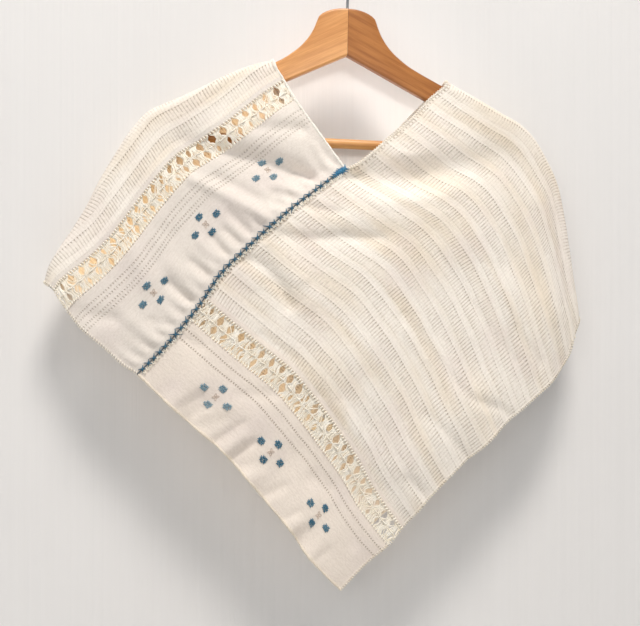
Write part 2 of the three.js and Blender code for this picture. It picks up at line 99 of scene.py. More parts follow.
class Finish:
    """A material made for one kind of surface."""

    def __init__(self, name, roughness, **sockets):
        self.material = bpy.data.materials.new(name)
        self.material.use_nodes = True
        self.tree = self.material.node_tree
        self.shader = self.tree.nodes["Principled BSDF"]
        self.put(self.shader.inputs["Roughness"], roughness)
        for key, value in sockets.items():
            self.put(self.shader.inputs[key.replace("_", " ")], value)

    def put(self, socket, value):
        if isinstance(value, Socket):
            self.tree.links.new(value.out, socket)
        elif isinstance(value, tuple) and len(value) == 3 and socket.type == "RGBA":
            socket.default_value = (*value, 1)
        else:
            socket.default_value = value

    def node(self, kind, settings=(), inputs=(), output=0):
        """Any node: its type, its settings, the values or links of its inputs."""
        node = self.tree.nodes.new("ShaderNode" + kind)
        for key, value in dict(settings).items():
            setattr(node, key, value)
        for key, value in dict(inputs).items():
            self.put(node.inputs[key], value)
        if output == "all":
            return [Socket(self, out) for out in node.outputs]
        return Socket(self, node.outputs[output])

    def on_object(self):
        """The place on the object, in metres."""
        return self.node("TexCoord", {}, {}, "Object")

    def on_uv(self):
        return self.node("UVMap", {"uv_map": "UVMap"})

    def parts(self, vector):
        return self.node("SeparateXYZ", {}, {0: vector}, "all")

    def noise(self, vector, scale, detail=2.0, roughness=0.5):
        return self.node("TexNoise", {}, {"Vector": vector, "Scale": scale, "Detail": detail,
                                          "Roughness": roughness})

    def stretched(self, vector, scale, detail=2, roughness=0.5, shift=(0, 0, 0)):
        """Noise with a scale of its own along each axis."""
        placed = self.node("Mapping", {}, {"Vector": vector, "Location": shift, "Scale": scale})
        return self.noise(placed, 1, detail, roughness)

    def blend(self, share, first, second):
        """The first colour where share is 0 and the second where it is 1."""
        return self.node("Mix", {"data_type": "RGBA"}, {0: share, 6: first, 7: second}, 2)

    def twist(self, turns):
        """The ridges of a thread's plies, wound so many turns a metre along its UV."""
        round_, along, _ = self.parts(self.on_uv())
        return (along * turns + round_).sine()

    def paint(self, colour):
        self.put(self.shader.inputs["Base Color"], colour)

    def relief(self, height, distance, strength=1.0):
        """Height times distance metres, as a bump."""
        self.put(self.shader.inputs["Normal"],
                 self.node("Bump", {}, {"Strength": strength, "Distance": distance,
                                        "Height": height}))


def srgb(red, green, blue):
    """A colour as seen, from 0 to 255, as the light that it stands for."""
    return tuple(((c / 255 + 0.055) / 1.055) ** 2.4 for c in (red, green, blue))


paint = Finish("wall_paint", 0.85)
spot = paint.on_object()
streaks = paint.stretched(spot, (160, 1, 9), 3)
clouds = paint.noise(spot, 3)
paint.paint(paint.blend(clouds * 0.7 + streaks * 0.3, srgb(229, 226, 223), srgb(240, 238, 236)))
paint.relief(streaks, 0.0006)
seen_from_behind = paint.node("NewGeometry", {}, {}, "Backfacing")
painted = Socket(paint, paint.shader.outputs[0])
one_sided = paint.node("MixShader", {}, {0: seen_from_behind, 1: painted,
                                         2: paint.node("BsdfTransparent")})
paint.tree.links.new(one_sided.out, paint.tree.nodes["Material Output"].inputs["Surface"])

bpy.ops.object.select_all(action="DESELECT")
bpy.ops.mesh.primitive_plane_add(size=WALL_SIZE, location=(0, WALL_Y, 0),
                                 rotation=(radians(90), 0, 0))
wall = bpy.context.object
wall.name = "wall"
wall.data.materials.append(paint.material)
bpy.ops.mesh.primitive_plane_add(size=FLOOR_SIZE, location=(0, 0, FLOOR_Z))
floor = bpy.context.object
floor.name = "floor"
floor_paint = Finish("floor_paint", 0.8)
floor_paint.paint(floor_paint.blend(floor_paint.noise(floor_paint.on_object(), 5),
                                    srgb(226, 224, 221), srgb(236, 234, 231)))
floor.data.materials.append(floor_paint.material)

world = bpy.context.scene.world or bpy.data.worlds.new("room")
bpy.context.scene.world = world
world.use_nodes = True
glimmer = world.node_tree.nodes["Background"].inputs
glimmer["Color"].default_value = (0.86, 0.93, 1.0, 1)
glimmer["Strength"].default_value = ROOM_LIGHT


def aimed(light, name, target, power, colour):
    """Name a light, turn it to its target and set its power."""
    light.name = name
    away = light.location - type(light.location)(target)
    light.rotation_euler = away.to_track_quat("Z", "Y").to_euler()
    light.data.energy, light.data.color = power, colour
    return light


def soft_light(name, location, target, width, height, power, colour):
    bpy.ops.object.light_add(type="AREA", location=location)
    light = bpy.context.object
    light.data.shape = "RECTANGLE"
    light.data.size, light.data.size_y = width, height
    return aimed(light, name, target, power, colour)


soft_light("overhead", (0.12, -1.45, 2.5), (0, 0, -0.6), 1.1, 0.6, 92, (1.0, 0.955, 0.915))
soft_light("window", (-0.6, -1.5, -0.1), (0, 0, -0.3), 0.8, 0.8, 4.5, (1.0, 0.98, 0.96))
soft_light("behind", (0.6, 1.9, 0.8), (0, 0, -0.35), 1.5, 1.5, 16, (1.0, 0.98, 0.95))
# What the loose cloth lets through falls on the inside of the back, behind each openwork band.
LET_THROUGH = (1.0, 0.76, 0.46)
for name, (x, y, z), lean in (("through_left", (-0.19, 0.018, -0.268), 43.5),
                              ("through_right", (-0.055, 0.0, -0.518), -49.5)):
    strip = soft_light(name, (x, y, z), (x, y + 1, z), 0.31, 0.05, 0.036, LET_THROUGH)
    strip.rotation_euler.rotate_axis("Z", radians(lean))
    strip.visible_camera = False

# Light between the wall and the cloth, so that the back can be seen from behind.
soft_light("on_the_back", (-0.02, WALL_Y - 0.003, -0.4), (-0.02, WALL_Y - 1, -0.4), 0.5, 0.5,
           0.24, (1.0, 1.0, 1.0)).visible_camera = False

# Light thrown back from the room through the open neck onto the wall.
bpy.ops.object.light_add(type="SPOT", location=(-0.05, -1.25, -0.14))
glow = aimed(bpy.context.object, "through_neck", (0.012, 0, -0.165), 33, (1.0, 0.97, 0.94))
glow.data.spot_size, glow.data.spot_blend = radians(10.5), 1.0
glow.data.shadow_soft_size = 0.12

# Two shaped arms of oiled hardwood, glued in a mitre under the hook, with softened edges. The
# loaded hanger tips by a degree, and each arm sweeps back from the middle.
MM = 0.001
ROLL = radians(1.0)
SET_BACK = 0.09
ARM_HALF = 5.7 * MM
ARM_ROUND = 2.6 * MM
ARM_POINTS = 110
MITRE = 0.3 * MM
MERGED = 0.02 * MM
SMOOTH_TO = radians(40)
GRAIN_SLOPE = 25
# Along the top from the hub's crown, round the tip and back to the mitre: x, z in mm.
ARM_OUTLINE = [
    (0.15, -66.0), (11.0, -66.4), (20.0, -68.4), (26.0, -71.0), (31.3, -75.0),
    (34.6, -83.5), (39.5, -94.0), (45.5, -102.8), (52.5, -110.3), (61.0, -117.2),
    (71.0, -124.0), (84.0, -130.6), (108.0, -141.4), (135.0, -152.6), (160.0, -163.6),
    (186.0, -175.2), (206.0, -184.6), (214.0, -190.0), (217.0, -198.0), (216.0, -212.0),
    (211.0, -219.0), (202.0, -221.0), (192.0, -219.0), (184.5, -206.0), (160.0, -191.0),
    (130.0, -176.6), (94.0, -160.9), (68.0, -149.2), (34.0, -133.5), (0.15, -118.0),
]


def unit(vectors):
    return vectors / np.linalg.norm(vectors, axis=-1, keepdims=True)


def lengths(points):
    """How far along a row of points each one lies."""
    return np.concatenate([[0], np.cumsum(np.linalg.norm(np.diff(points, axis=0), axis=1))])


def line(points):
    """A smooth curve through points, as a function of the share of its length."""
    p = np.array(points, float)
    q = np.vstack([2 * p[0] - p[1], p, 2 * p[-1] - p[-2]])
    steps = np.maximum(np.sqrt(np.linalg.norm(np.diff(q, axis=0), axis=1)), 1e-9)

    def bend(share):
        k = np.clip((share * (len(p) - 1)).astype(int), 0, len(p) - 2)
        w = (share * (len(p) - 1) - k)[..., None]
        d0, d1, d2 = (steps[k + i][..., None] for i in range(3))
        x0, x1, x2, x3 = (q[k + i] for i in range(4))
        t1 = ((x1 - x0) / d0 - (x2 - x0) / (d0 + d1) + (x2 - x1) / d1) * d1
        t2 = ((x2 - x1) / d1 - (x3 - x1) / (d1 + d2) + (x3 - x2) / d2) * d1
        cubic = 2 * x1 - 2 * x2 + t1 + t2
        return x1 + w * (t1 + w * (-3 * x1 + 3 * x2 - 2 * t1 - t2 + w * cubic))

    knots = np.linspace(0, 1, 401)
    run = lengths(bend(knots))
    return lambda u: bend(np.interp(np.asarray(u, float) * run[-1], run, knots))


def choose(piece):
    bpy.ops.object.select_all(action="DESELECT")
    bpy.context.view_layer.objects.active = piece
    piece.select_set(True)


def edit(piece):
    choose(piece)
    bpy.ops.object.mode_set(mode="EDIT")


def pick_edges(piece, fits):
    """Select just the edges whose two ends fit, and open the piece for editing."""
    for element in (piece.data.polygons, piece.data.edges, piece.data.vertices):
        element.foreach_set("select", [False] * len(element))
    for rim in piece.data.edges:
        rim.select = fits(*(piece.data.vertices[i].co for i in rim.vertices))
    bpy.context.tool_settings.mesh_select_mode = (False, True, False)
    edit(piece)


def wood(name, light, dark, slope):
    """Straight-grained hardwood, its grain at a slope in degrees from level."""
    finish = Finish(name, 0.42, Coat_Weight=0.12, Coat_Roughness=0.3)
    turned = finish.node("Mapping", {"vector_type": "TEXTURE"}, {
        "Vector": finish.on_object(), "Rotation": (0, radians(-slope), 0)})
    wander = finish.stretched(turned, (9, 22, 22))
    bands = finish.stretched(turned, (9, 90, 260), 3, 0.65, (4, 0, 0))
    pores = finish.stretched(turned, (110, 900, 1500))
    tone = bands * 0.75 + wander * 0.35
    colour = finish.blend(tone.step(0.36, 0.74), light, dark)
    pore = pores.step(0.6, 0.75)
    finish.paint(finish.blend(pore * 0.22, colour, tuple(c * 0.5 for c in dark)))
    finish.put(finish.shader.inputs["Roughness"], 0.4 + pore * 0.25)
    finish.relief(pores * -0.3 + bands * 0.5, 0.0003)
    return finish.material


def hanger_arm(side, name, material):
    outline = line([(x, 0, z) for x, z in ARM_OUTLINE])(np.linspace(0, 1, ARM_POINTS)) * MM
    bpy.ops.object.select_all(action="DESELECT")
    bpy.ops.mesh.primitive_circle_add(vertices=ARM_POINTS, radius=0.1, fill_type="NGON")
    arm = bpy.context.object
    for vertex, (x, _, z) in zip(arm.data.vertices, outline):
        vertex.co = (side * x, -ARM_HALF, z)
    edit(arm)
    bpy.ops.mesh.select_all(action="SELECT")
    bpy.ops.mesh.extrude_region_move(TRANSFORM_OT_translate={"value": (0, 2 * ARM_HALF, 0)})
    bpy.ops.mesh.select_all(action="SELECT")
    bpy.ops.mesh.normals_make_consistent(inside=False)
    bpy.ops.object.mode_set(mode="OBJECT")
    pick_edges(arm, lambda a, b: abs(a.y - b.y) < MITRE and max(abs(a.x), abs(b.x)) > MITRE)
    bpy.ops.mesh.bevel(offset=ARM_ROUND, offset_type="OFFSET", segments=4, affect="EDGES")
    bpy.ops.object.mode_set(mode="OBJECT")
    for vertex in arm.data.vertices:
        vertex.co.y += SET_BACK * abs(vertex.co.x)
    edit(arm)
    bpy.ops.mesh.select_all(action="SELECT")
    bpy.ops.transform.rotate(value=-ROLL, orient_axis="Y", center_override=(0, 0, 0))
    bpy.ops.mesh.remove_doubles(threshold=MERGED)
    bpy.ops.mesh.normals_make_consistent(inside=False)
    bpy.ops.object.mode_set(mode="OBJECT")
    bpy.ops.object.shade_smooth_by_angle(angle=SMOOTH_TO)
    arm.name = name
    arm.data.materials.append(material)
    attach(arm, "root")
    return arm


for side, name, light, dark in ((-1, "left", (224, 162, 98), (194, 130, 70)),
                                (1, "right", (180, 118, 60), (148, 88, 40))):
    material = wood("oak_" + name, srgb(*light), srgb(*dark), -side * GRAIN_SLOPE)
    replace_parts(hanger_arm(side, "arm_" + name, material), "hanger_" + name)

# The trouser bar, a straight dowel of the same wood let in between the arms.
BAR_RADIUS = 5.5 * MM
BAR_HALF = 184 * MM
BAR_ROUND = 1.2 * MM
BAR_Y, BAR_Z = 16 * MM, -212 * MM

bpy.ops.object.select_all(action="DESELECT")
bpy.ops.mesh.primitive_cylinder_add(vertices=40, radius=BAR_RADIUS, depth=2 * BAR_HALF,
                                    end_fill_type="NGON", location=(0, BAR_Y, BAR_Z),
                                    rotation=(0, radians(90), 0))
bar = bpy.context.object
bpy.ops.object.transform_apply(location=True, rotation=True, scale=True)
pick_edges(bar, lambda a, b: abs(a.x - b.x) < BAR_RADIUS)
bpy.ops.mesh.bevel(offset=BAR_ROUND, segments=3, affect="EDGES")
bpy.ops.mesh.select_all(action="SELECT")
bpy.ops.transform.rotate(value=-ROLL, orient_axis="Y", center_override=(0, 0, 0))
bpy.ops.object.mode_set(mode="OBJECT")
bpy.ops.object.shade_smooth_by_angle(angle=SMOOTH_TO)
bar.name = "bar"
bar.data.materials.append(wood("oak_bar", srgb(222, 166, 100), srgb(178, 118, 60), 0))
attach(bar, "root")
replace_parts(bar, "hanger_bar")

# The hook, one length of bright drawn steel wire screwed up out of the hub and bent round.
ROD_RADIUS = 1.5
HOOK_RADIUS = 21
HOOK_FROM, HOOK_TO = -28, 200
HOOK_STEM = [(0, -65.7), (0, -58), (0.4, -53), (2.6, -47.6), (7, -42.2), (12.4, -36.4)]


def mesh_piece(name, points, faces, corners, material):
    """A piece from its points, its faces and the UV place of each face corner."""
    mesh = bpy.data.meshes.new(name)
    mesh.from_pydata(points.tolist(), [], faces)
    mesh.uv_layers.new(name="UVMap").data.foreach_set("uv", np.asarray(corners, float).ravel())
    mesh.polygons.foreach_set("use_smooth", [True] * len(mesh.polygons))
    mesh.materials.append(material)
    piece = bpy.data.objects.new(name, mesh)
    bpy.context.scene.collection.objects.link(piece)
    return piece


def strands(name, paths, radius, sides, up, material):
    """Threads or wires, one along each row of points. up is a direction that is never along
    them. UV is the share of the way round and the metres along."""
    paths = np.asarray(paths, float)
    count, steps = paths.shape[:2]
    radius = np.broadcast_to(np.asarray(radius, float), (count, steps))[..., None, None]
    along = unit(np.gradient(paths, axis=1))
    aside = unit(np.cross(along, np.broadcast_to(np.asarray(up, float), paths.shape)))
    over = np.cross(aside, along)
    turn = (2 * pi * np.arange(sides) / sides)[:, None]
    ring = np.cos(turn) * aside[:, :, None] + np.sin(turn) * over[:, :, None]
    points = (paths[:, :, None] + radius * ring).reshape(-1, 3)
    first = (np.arange(count)[:, None, None] * steps + np.arange(steps - 1)[:, None]) * sides
    k, after = np.arange(sides), (np.arange(sides) + 1) % sides
    walls = np.stack([first + k, first + after, first + after + sides, first + k + sides], -1)
    run = np.array([lengths(path) for path in paths])
    near, far = run[:, :-1, None] + 0 * k, run[:, 1:, None] + 0 * k
    share = np.broadcast_to(k / sides, near.shape)
    corners = np.stack([np.stack([share, near], -1), np.stack([share + 1 / sides, near], -1),
                        np.stack([share + 1 / sides, far], -1), np.stack([share, far], -1)], -2)
    starts = np.arange(count)[:, None] * steps * sides
    caps = np.concatenate([starts + k[::-1], starts + (steps - 1) * sides + k])
    ends = np.zeros((caps.size, 2))
    ends[caps.size // 2:, 1] = np.repeat(run[:, -1], sides)
    return mesh_piece(name, points, walls.reshape(-1, 4).tolist() + caps.tolist(),
                      np.vstack([corners.reshape(-1, 2), ends]), material)


def tipped(points):
    """Points in mm turned with the loaded hanger, in metres."""
    p = np.asarray(points, float) * MM
    c, s = np.cos(ROLL), np.sin(ROLL)
    return np.stack([p[..., 0] * c + p[..., 2] * s, p[..., 1], p[..., 2] * c - p[..., 0] * s], -1)


steel = Finish("drawn_steel", 0.3, Metallic=1.0)
rub = steel.stretched(steel.on_object(), (300, 300, 40), 3)
steel.paint(steel.blend(rub, srgb(150, 151, 152), srgb(196, 197, 198)))
steel.put(steel.shader.inputs["Roughness"], 0.24 + rub * 0.18)
arc = np.radians(np.linspace(HOOK_FROM, HOOK_TO, 60))
bow = np.column_stack([HOOK_RADIUS * np.cos(arc), 0 * arc,
                       ROD_RADIUS - HOOK_RADIUS + HOOK_RADIUS * np.sin(arc)])
stem = line([(x, 0, z) for x, z in HOOK_STEM] + [tuple(bow[0])])
wire_line = np.vstack([stem(np.linspace(0, 1, 30))[:-1], bow])
tail = unit(wire_line[-1] - wire_line[-2])
rounding = np.array([0.5, 0.87, 1.0])[:, None]
wire_line = np.vstack([wire_line, wire_line[-1] + rounding * tail * 0.8])
wire_radius = np.full(len(wire_line), ROD_RADIUS)
wire_radius[-3:] = ROD_RADIUS * np.array([0.87, 0.5, 0.12])
hook = strands("hook_wire", [tipped(wire_line)], wire_radius * MM, 14, (0, 1, 0), steel.material)
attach(hook, "root")
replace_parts(hook, "hook")

# The two webs of handwoven cotton. Each goes over one arm of the hanger, and its ends and its
# neck side are joined to the other web, front and back. All lengths here are in mm.
WEB_WIDTH = 350.0
WEB_LENGTH = 620.0
SEAM_GAP = 0.6
CLOTH = 1.3
GRID = 2.5
BAND_EDGE = 12.6
LEFT_BAND, RIGHT_BAND = 109.5, 89.5
# Folds and creases fade out over these distances: at the arm, at the sewn end, at the neck.
FOLD_FADE = (0, 40)
CREASE_FADE = (14, 80)
SEWN_FADE = (0, 15)
NECK_FADE = (0, 13)

# Each fold over an arm, from the neck edge to the side corner: x, y, z of its top, its radius.
LEFT_RIDGE = [
    (-83.0, 7.6, -124.2, 9.4), (-107.0, 9.6, -130.4, 9.4), (-137.4, 12.3, -143.2, 9.4),
    (-161.3, 14.4, -155.6, 9.4), (-188.3, 16.9, -168.4, 9.4), (-219.0, 19.4, -183.2, 9.6),
    (-231.6, 19.6, -196.6, 9.8), (-241.5, 19.0, -210.6, 10.0), (-257.4, 18.0, -237.0, 10.4),
    (-272.0, 17.0, -263.4, 10.8), (-284.6, 16.0, -289.6, 11.2), (-300.0, 14.5, -315.6, 11.5),
    (-314.0, 13.0, -337.4, 12.0), (-322.6, 12.2, -354.0, 12.0), (-326.6, 12.0, -370.0, 12.0),
]
RIGHT_RIDGE = [
    (114.0, 10.4, -138.4, 9.4), (130.0, 11.8, -146.6, 9.4), (156.6, 14.0, -159.0, 9.4),
    (181.4, 16.3, -171.4, 9.4), (206.0, 18.4, -183.6, 9.6), (222.0, 19.6, -197.4, 10.0),
    (238.8, 19.0, -224.4, 10.4), (251.0, 18.0, -252.0, 11.2), (259.6, 17.0, -293.0, 12.0),
    (264.8, 16.0, -328.0, 12.6), (269.6, 15.0, -363.0, 13.2), (273.4, 14.4, -387.0, 13.6),
    (275.8, 14.0, -408.0, 14.0),
]
# The joinings from the point of the V to the hem, the neck edges, and the hems: x, y, z.
FRONT_JOIN = [
    (-4.6, -7, -243.0), (-56.0, -12, -281.8), (-86.6, -15, -307.4), (-115.8, -18, -334.7),
    (-142.4, -20, -361.7), (-163.5, -21, -393.4), (-182.4, -21, -416.8), (-200.0, -20, -437.8),
    (-228.6, -17, -466.6),
]
BACK_JOIN = [
    (1.0, 29, -250.0), (45.0, 30, -293.0), (86.0, 31, -338.0), (124.0, 31, -384.0),
    (160.0, 30, -430.0), (204.0, 29, -489.0),
]
LEFT_NECK = [(-15.5, -7, -228.4), (-28.7, -6.5, -210.6), (-43.9, -5.5, -189.9),
             (-61.1, -4, -165.7), (-72.0, -2.6, -146.8)]
RIGHT_NECK = [(7.9, -7, -237.1), (23.3, -7, -225.5), (46.7, -6, -204.8),
              (70.3, -4, -184.5), (92.0, -0.5, -161.5)]
LEFT_NECK_BACK = [(-22.0, 27.5, -222.0), (-46.0, 23.5, -186.0), (-68.0, 18.5, -150.0)]
RIGHT_NECK_BACK = [(26.0, 27.5, -228.0), (60.0, 24.5, -194.0), (92.0, 20.5, -161.0)]
LEFT_HEM = [(-245.6, -15, -455.6), (-259.0, -13, -443.0), (-273.5, -11, -430.4),
            (-288.0, -8, -417.8), (-298.4, -6, -405.2), (-307.0, -4, -392.6)]
FREE_END = [(-202.0, -20, -493.0), (-173.8, -22, -519.2), (-142.4, -24, -546.6),
            (-109.7, -25, -584.0), (-88.6, -26, -609.6), (-67.1, -26, -635.9),
            (-50.8, -26, -661.0), (-25.0, -25, -689.7), (-12.5, -24, -702.0)]
RIGHT_HEM = [(10.4, -25, -678.4), (39.1, -26, -653.2), (64.5, -27, -627.8),
             (87.1, -27, -602.4), (114.3, -26, -576.8), (145.9, -24, -551.5),
             (175.2, -21, -526.0), (209.3, -15, -500.2), (239.5, -8, -474.4),
             (257.0, -3, -453.0)]
RIGHT_HEM_BACK = [(250.0, 28.5, -448.0), (228.0, 29, -469.0)]
LEFT_HEM_BACK = [(-300.0, 25, -392.0), (-262.0, 27, -424.0), (-222.0, 28, -456.0),
                 (-165.0, 30, -510.0), (-104.0, 30, -572.0), (-52.0, 30, -634.0)]
BACK_TIP = (-8, 29, -688)
FREE_END_BACK = [(152.0, 30, -536.0), (94.0, 31, -588.0), (42.0, 31, -638.0)]

# Soft folds: points x, z along each, its half width, and how far it stands out (+) or sinks
# in (-) at the front, or stands forward (+) at the back.
FRONT_FOLDS = [
    ([(10, -262), (90, -250)], 22, -4.5), ([(90, -250), (180, -226)], 24, -3.2),
    ([(-178, -224), (-62, -262)], 24, -5.0), ([(-190, -262), (-90, -300)], 20, 2.5),
    ([(5, -296), (105, -288)], 20, 2.5), ([(-52, -330), (46, -316)], 17, -3.2),
    ([(-84, -352), (-46, -388)], 12, 2.6), ([(150, -330), (215, -420)], 42, 5.0),
    ([(60, -420), (175, -330)], 34, -3.0), ([(70, -560), (140, -500)], 34, 4.5),
    ([(-40, -470), (60, -420)], 26, 2.6), ([(-60, -560), (20, -600)], 30, -3.4),
    ([(-165, -470), (-110, -520)], 22, 2.4), ([(225, -270), (240, -400)], 18, 3.0),
]
BACK_FOLDS = [
    ([(-185, -214), (185, -216)], 44, -6.0), ([(-200, -300), (-60, -560)], 30, 4.0),
    ([(-20, -330), (60, -600)], 34, -4.0), ([(-120, -320), (-20, -600)], 28, 3.5),
    ([(180, -300), (120, -480)], 30, -3.5), ([(-250, -310), (-180, -430)], 24, -3.0),
]

# Creases on the webs: points as mm across from the neck side and mm along from the sewn or
# free front end, the half width, and how far it stands out of the cloth.
LEFT_CREASES = [
    ([(34, 5), (59, 45), (84, 75), (106, 107), (124, 130), (139, 165)], 11, -6.0),
    ([(90, 8), (109, 40), (124, 76)], 7, -3.6), ([(112, 8), (129, 50), (149, 92)], 7, 4.0),
    ([(14, 65), (34, 80), (54, 95)], 8, -3.2), ([(60, 6), (76, 30)], 6, 2.8),
    ([(179, 6), (176, 34)], 5, -2.6), ([(154, 6), (159, 28)], 5, -2.3),
    ([(193, 8), (191, 40)], 6, 2.4), ([(206, 5), (213, 34)], 5, -2.2),
    ([(246, 5), (249, 40)], 6, -3.6), ([(262, 60), (254, 92)], 13, 2.8),
    ([(283, 6), (290, 28)], 5, -2.2), ([(318, 58), (344, 94)], 9, -3.4),
    ([(44, 145), (79, 147)], 5, -1.6), ([(209, 70), (216, 84)], 9, -1.3),
    ([(20, 6), (12, 40)], 6, 1.8), ([(0, 30), (30, 24), (60, 30)], 25, -5.2),
    ([(30, 98), (70, 104), (118, 112)], 22, 4.0), ([(40, 8), (47, 30)], 6, -3.0),
    ([(72, 4), (86, 26)], 6, -2.6), ([(136, 6), (142, 36)], 7, -2.4),
    ([(224, 6), (232, 50)], 9, 2.2), ([(300, 8), (306, 44)], 9, 1.8),
]
RIGHT_CREASES = [
    ([(0, 160), (30, 166), (55, 161), (78, 151)], 7, -3.6),
    ([(8, 187), (40, 188), (64, 180)], 10, 3.2), ([(8, 148), (34, 145)], 7, 1.8),
    ([(18, 205), (42, 221), (60, 241), (88, 261)], 8, -3.0),
    ([(8, 246), (34, 259)], 6, -2.4), ([(0, 288), (32, 288), (60, 300), (96, 350)], 11, 2.6),
    ([(8, 313), (30, 323), (56, 346), (73, 371), (92, 402), (105, 440)], 22, -6.4),
    ([(24, 356), (38, 366)], 8, 2.0), ([(316, 141), (350, 149)], 7, -2.6),
    ([(176, 227), (225, 231), (270, 241), (305, 256), (325, 276), (347, 292)], 5, -1.7),
    ([(300, 254), (326, 276)], 6, -1.4), ([(190, 217), (232, 223)], 5, 1.0),
    ([(280, 196), (320, 211), (348, 217)], 6, -2.0),
    ([(150, 294), (210, 296), (260, 306), (302, 322)], 5, -1.2),
    ([(278, 336), (322, 354)], 6, -1.7), ([(210, 358), (252, 382)], 17, -2.4),
    ([(222, 252), (282, 267)], 15, -2.0), ([(98, 6), (106, 26)], 8, -1.6),
    ([(162, 5), (176, 22)], 8, -1.9), ([(232, 52), (254, 60)], 9, -2.2),
    ([(8, 58), (28, 62)], 7, -1.8), ([(322, 48), (282, 80)], 6, -1.5),
    ([(98, 50), (134, 78)], 7, -1.5), ([(72, 110), (122, 113)], 5, -1.3),
    ([(168, 108), (216, 103)], 5, -1.5), ([(200, 118), (232, 118)], 6, 1.6),
    ([(238, 136), (284, 141)], 10, -1.8), ([(255, 8), (262, 24)], 8, 1.5),
    ([(118, 3), (125, 32)], 6, -2.4), ([(146, 3), (151, 27)], 5, -2.2),
    ([(133, 4), (138, 24)], 6, 1.8), ([(205, 3), (213, 24)], 6, -2.0),
    ([(60, 3), (67, 24)], 7, -1.8), ([(240, 3), (247, 20)], 5, -1.6),
    ([(84, 3), (86, 18)], 5, 1.5), ([(300, 3), (304, 20)], 6, -1.6),
]


def smooth(a, b, x):
    u = np.clip((x - a) / (b - a), 0, 1)
    return u * u * (3 - 2 * u)


def creased(table, x, z):
    """How far the creases of a table stand out at a place."""
    total = 0
    for points, wide, high in table:
        near = np.inf
        for (x0, z0), (x1, z1) in zip(points[:-1], points[1:]):
            dx, dz = x1 - x0, z1 - z0
            k = np.clip(((x - x0) * dx + (z - z0) * dz) / (dx * dx + dz * dz), 0, 1)
            near = np.minimum(near, (x - x0 - k * dx) ** 2 + (z - z0 - k * dz) ** 2)
        total = total + high * np.exp(-near / wide ** 2)
    return total


def again(table):
    """Creases like these for the other end of the other web, on the hidden side."""
    luck = np.random.default_rng(len(table))
    return [([(a + dx, WEB_LENGTH - t - dt) for a, t in points], wide * bigger, high * deeper)
            for points, wide, high in table
            for dx, dt, bigger, deeper in [luck.uniform((-7, -6, 0.9, 0.7), (7, 6, 1.25, 1.1))]]


def beside(points, side):
    """A joining's points moved half the seam's gap to one web or the other."""
    t = np.vstack([points[1] - points[0], points[2:] - points[:-2], points[-1] - points[-2]])
    n = np.column_stack([t[:, 2], 0 * t[:, 0], -t[:, 0]])
    return points + unit(n) * side * SEAM_GAP / 2


def patch(end, top, side0, side1):
    """A surface between four edges: s from the first side to the second, w from end to top."""
    c00, c10, c01, c11 = end(0.0), end(1.0), top(0.0), top(1.0)

    def at(s, w):
        a, b = s[..., None], w[..., None]
        p = end(s) * (1 - b) + top(s) * b + side0(w) * (1 - a) + side1(w) * a
        return (p - c00 * (1 - a) * (1 - b) - c10 * a * (1 - b)
                - c01 * (1 - a) * b - c11 * a * b)
    return at


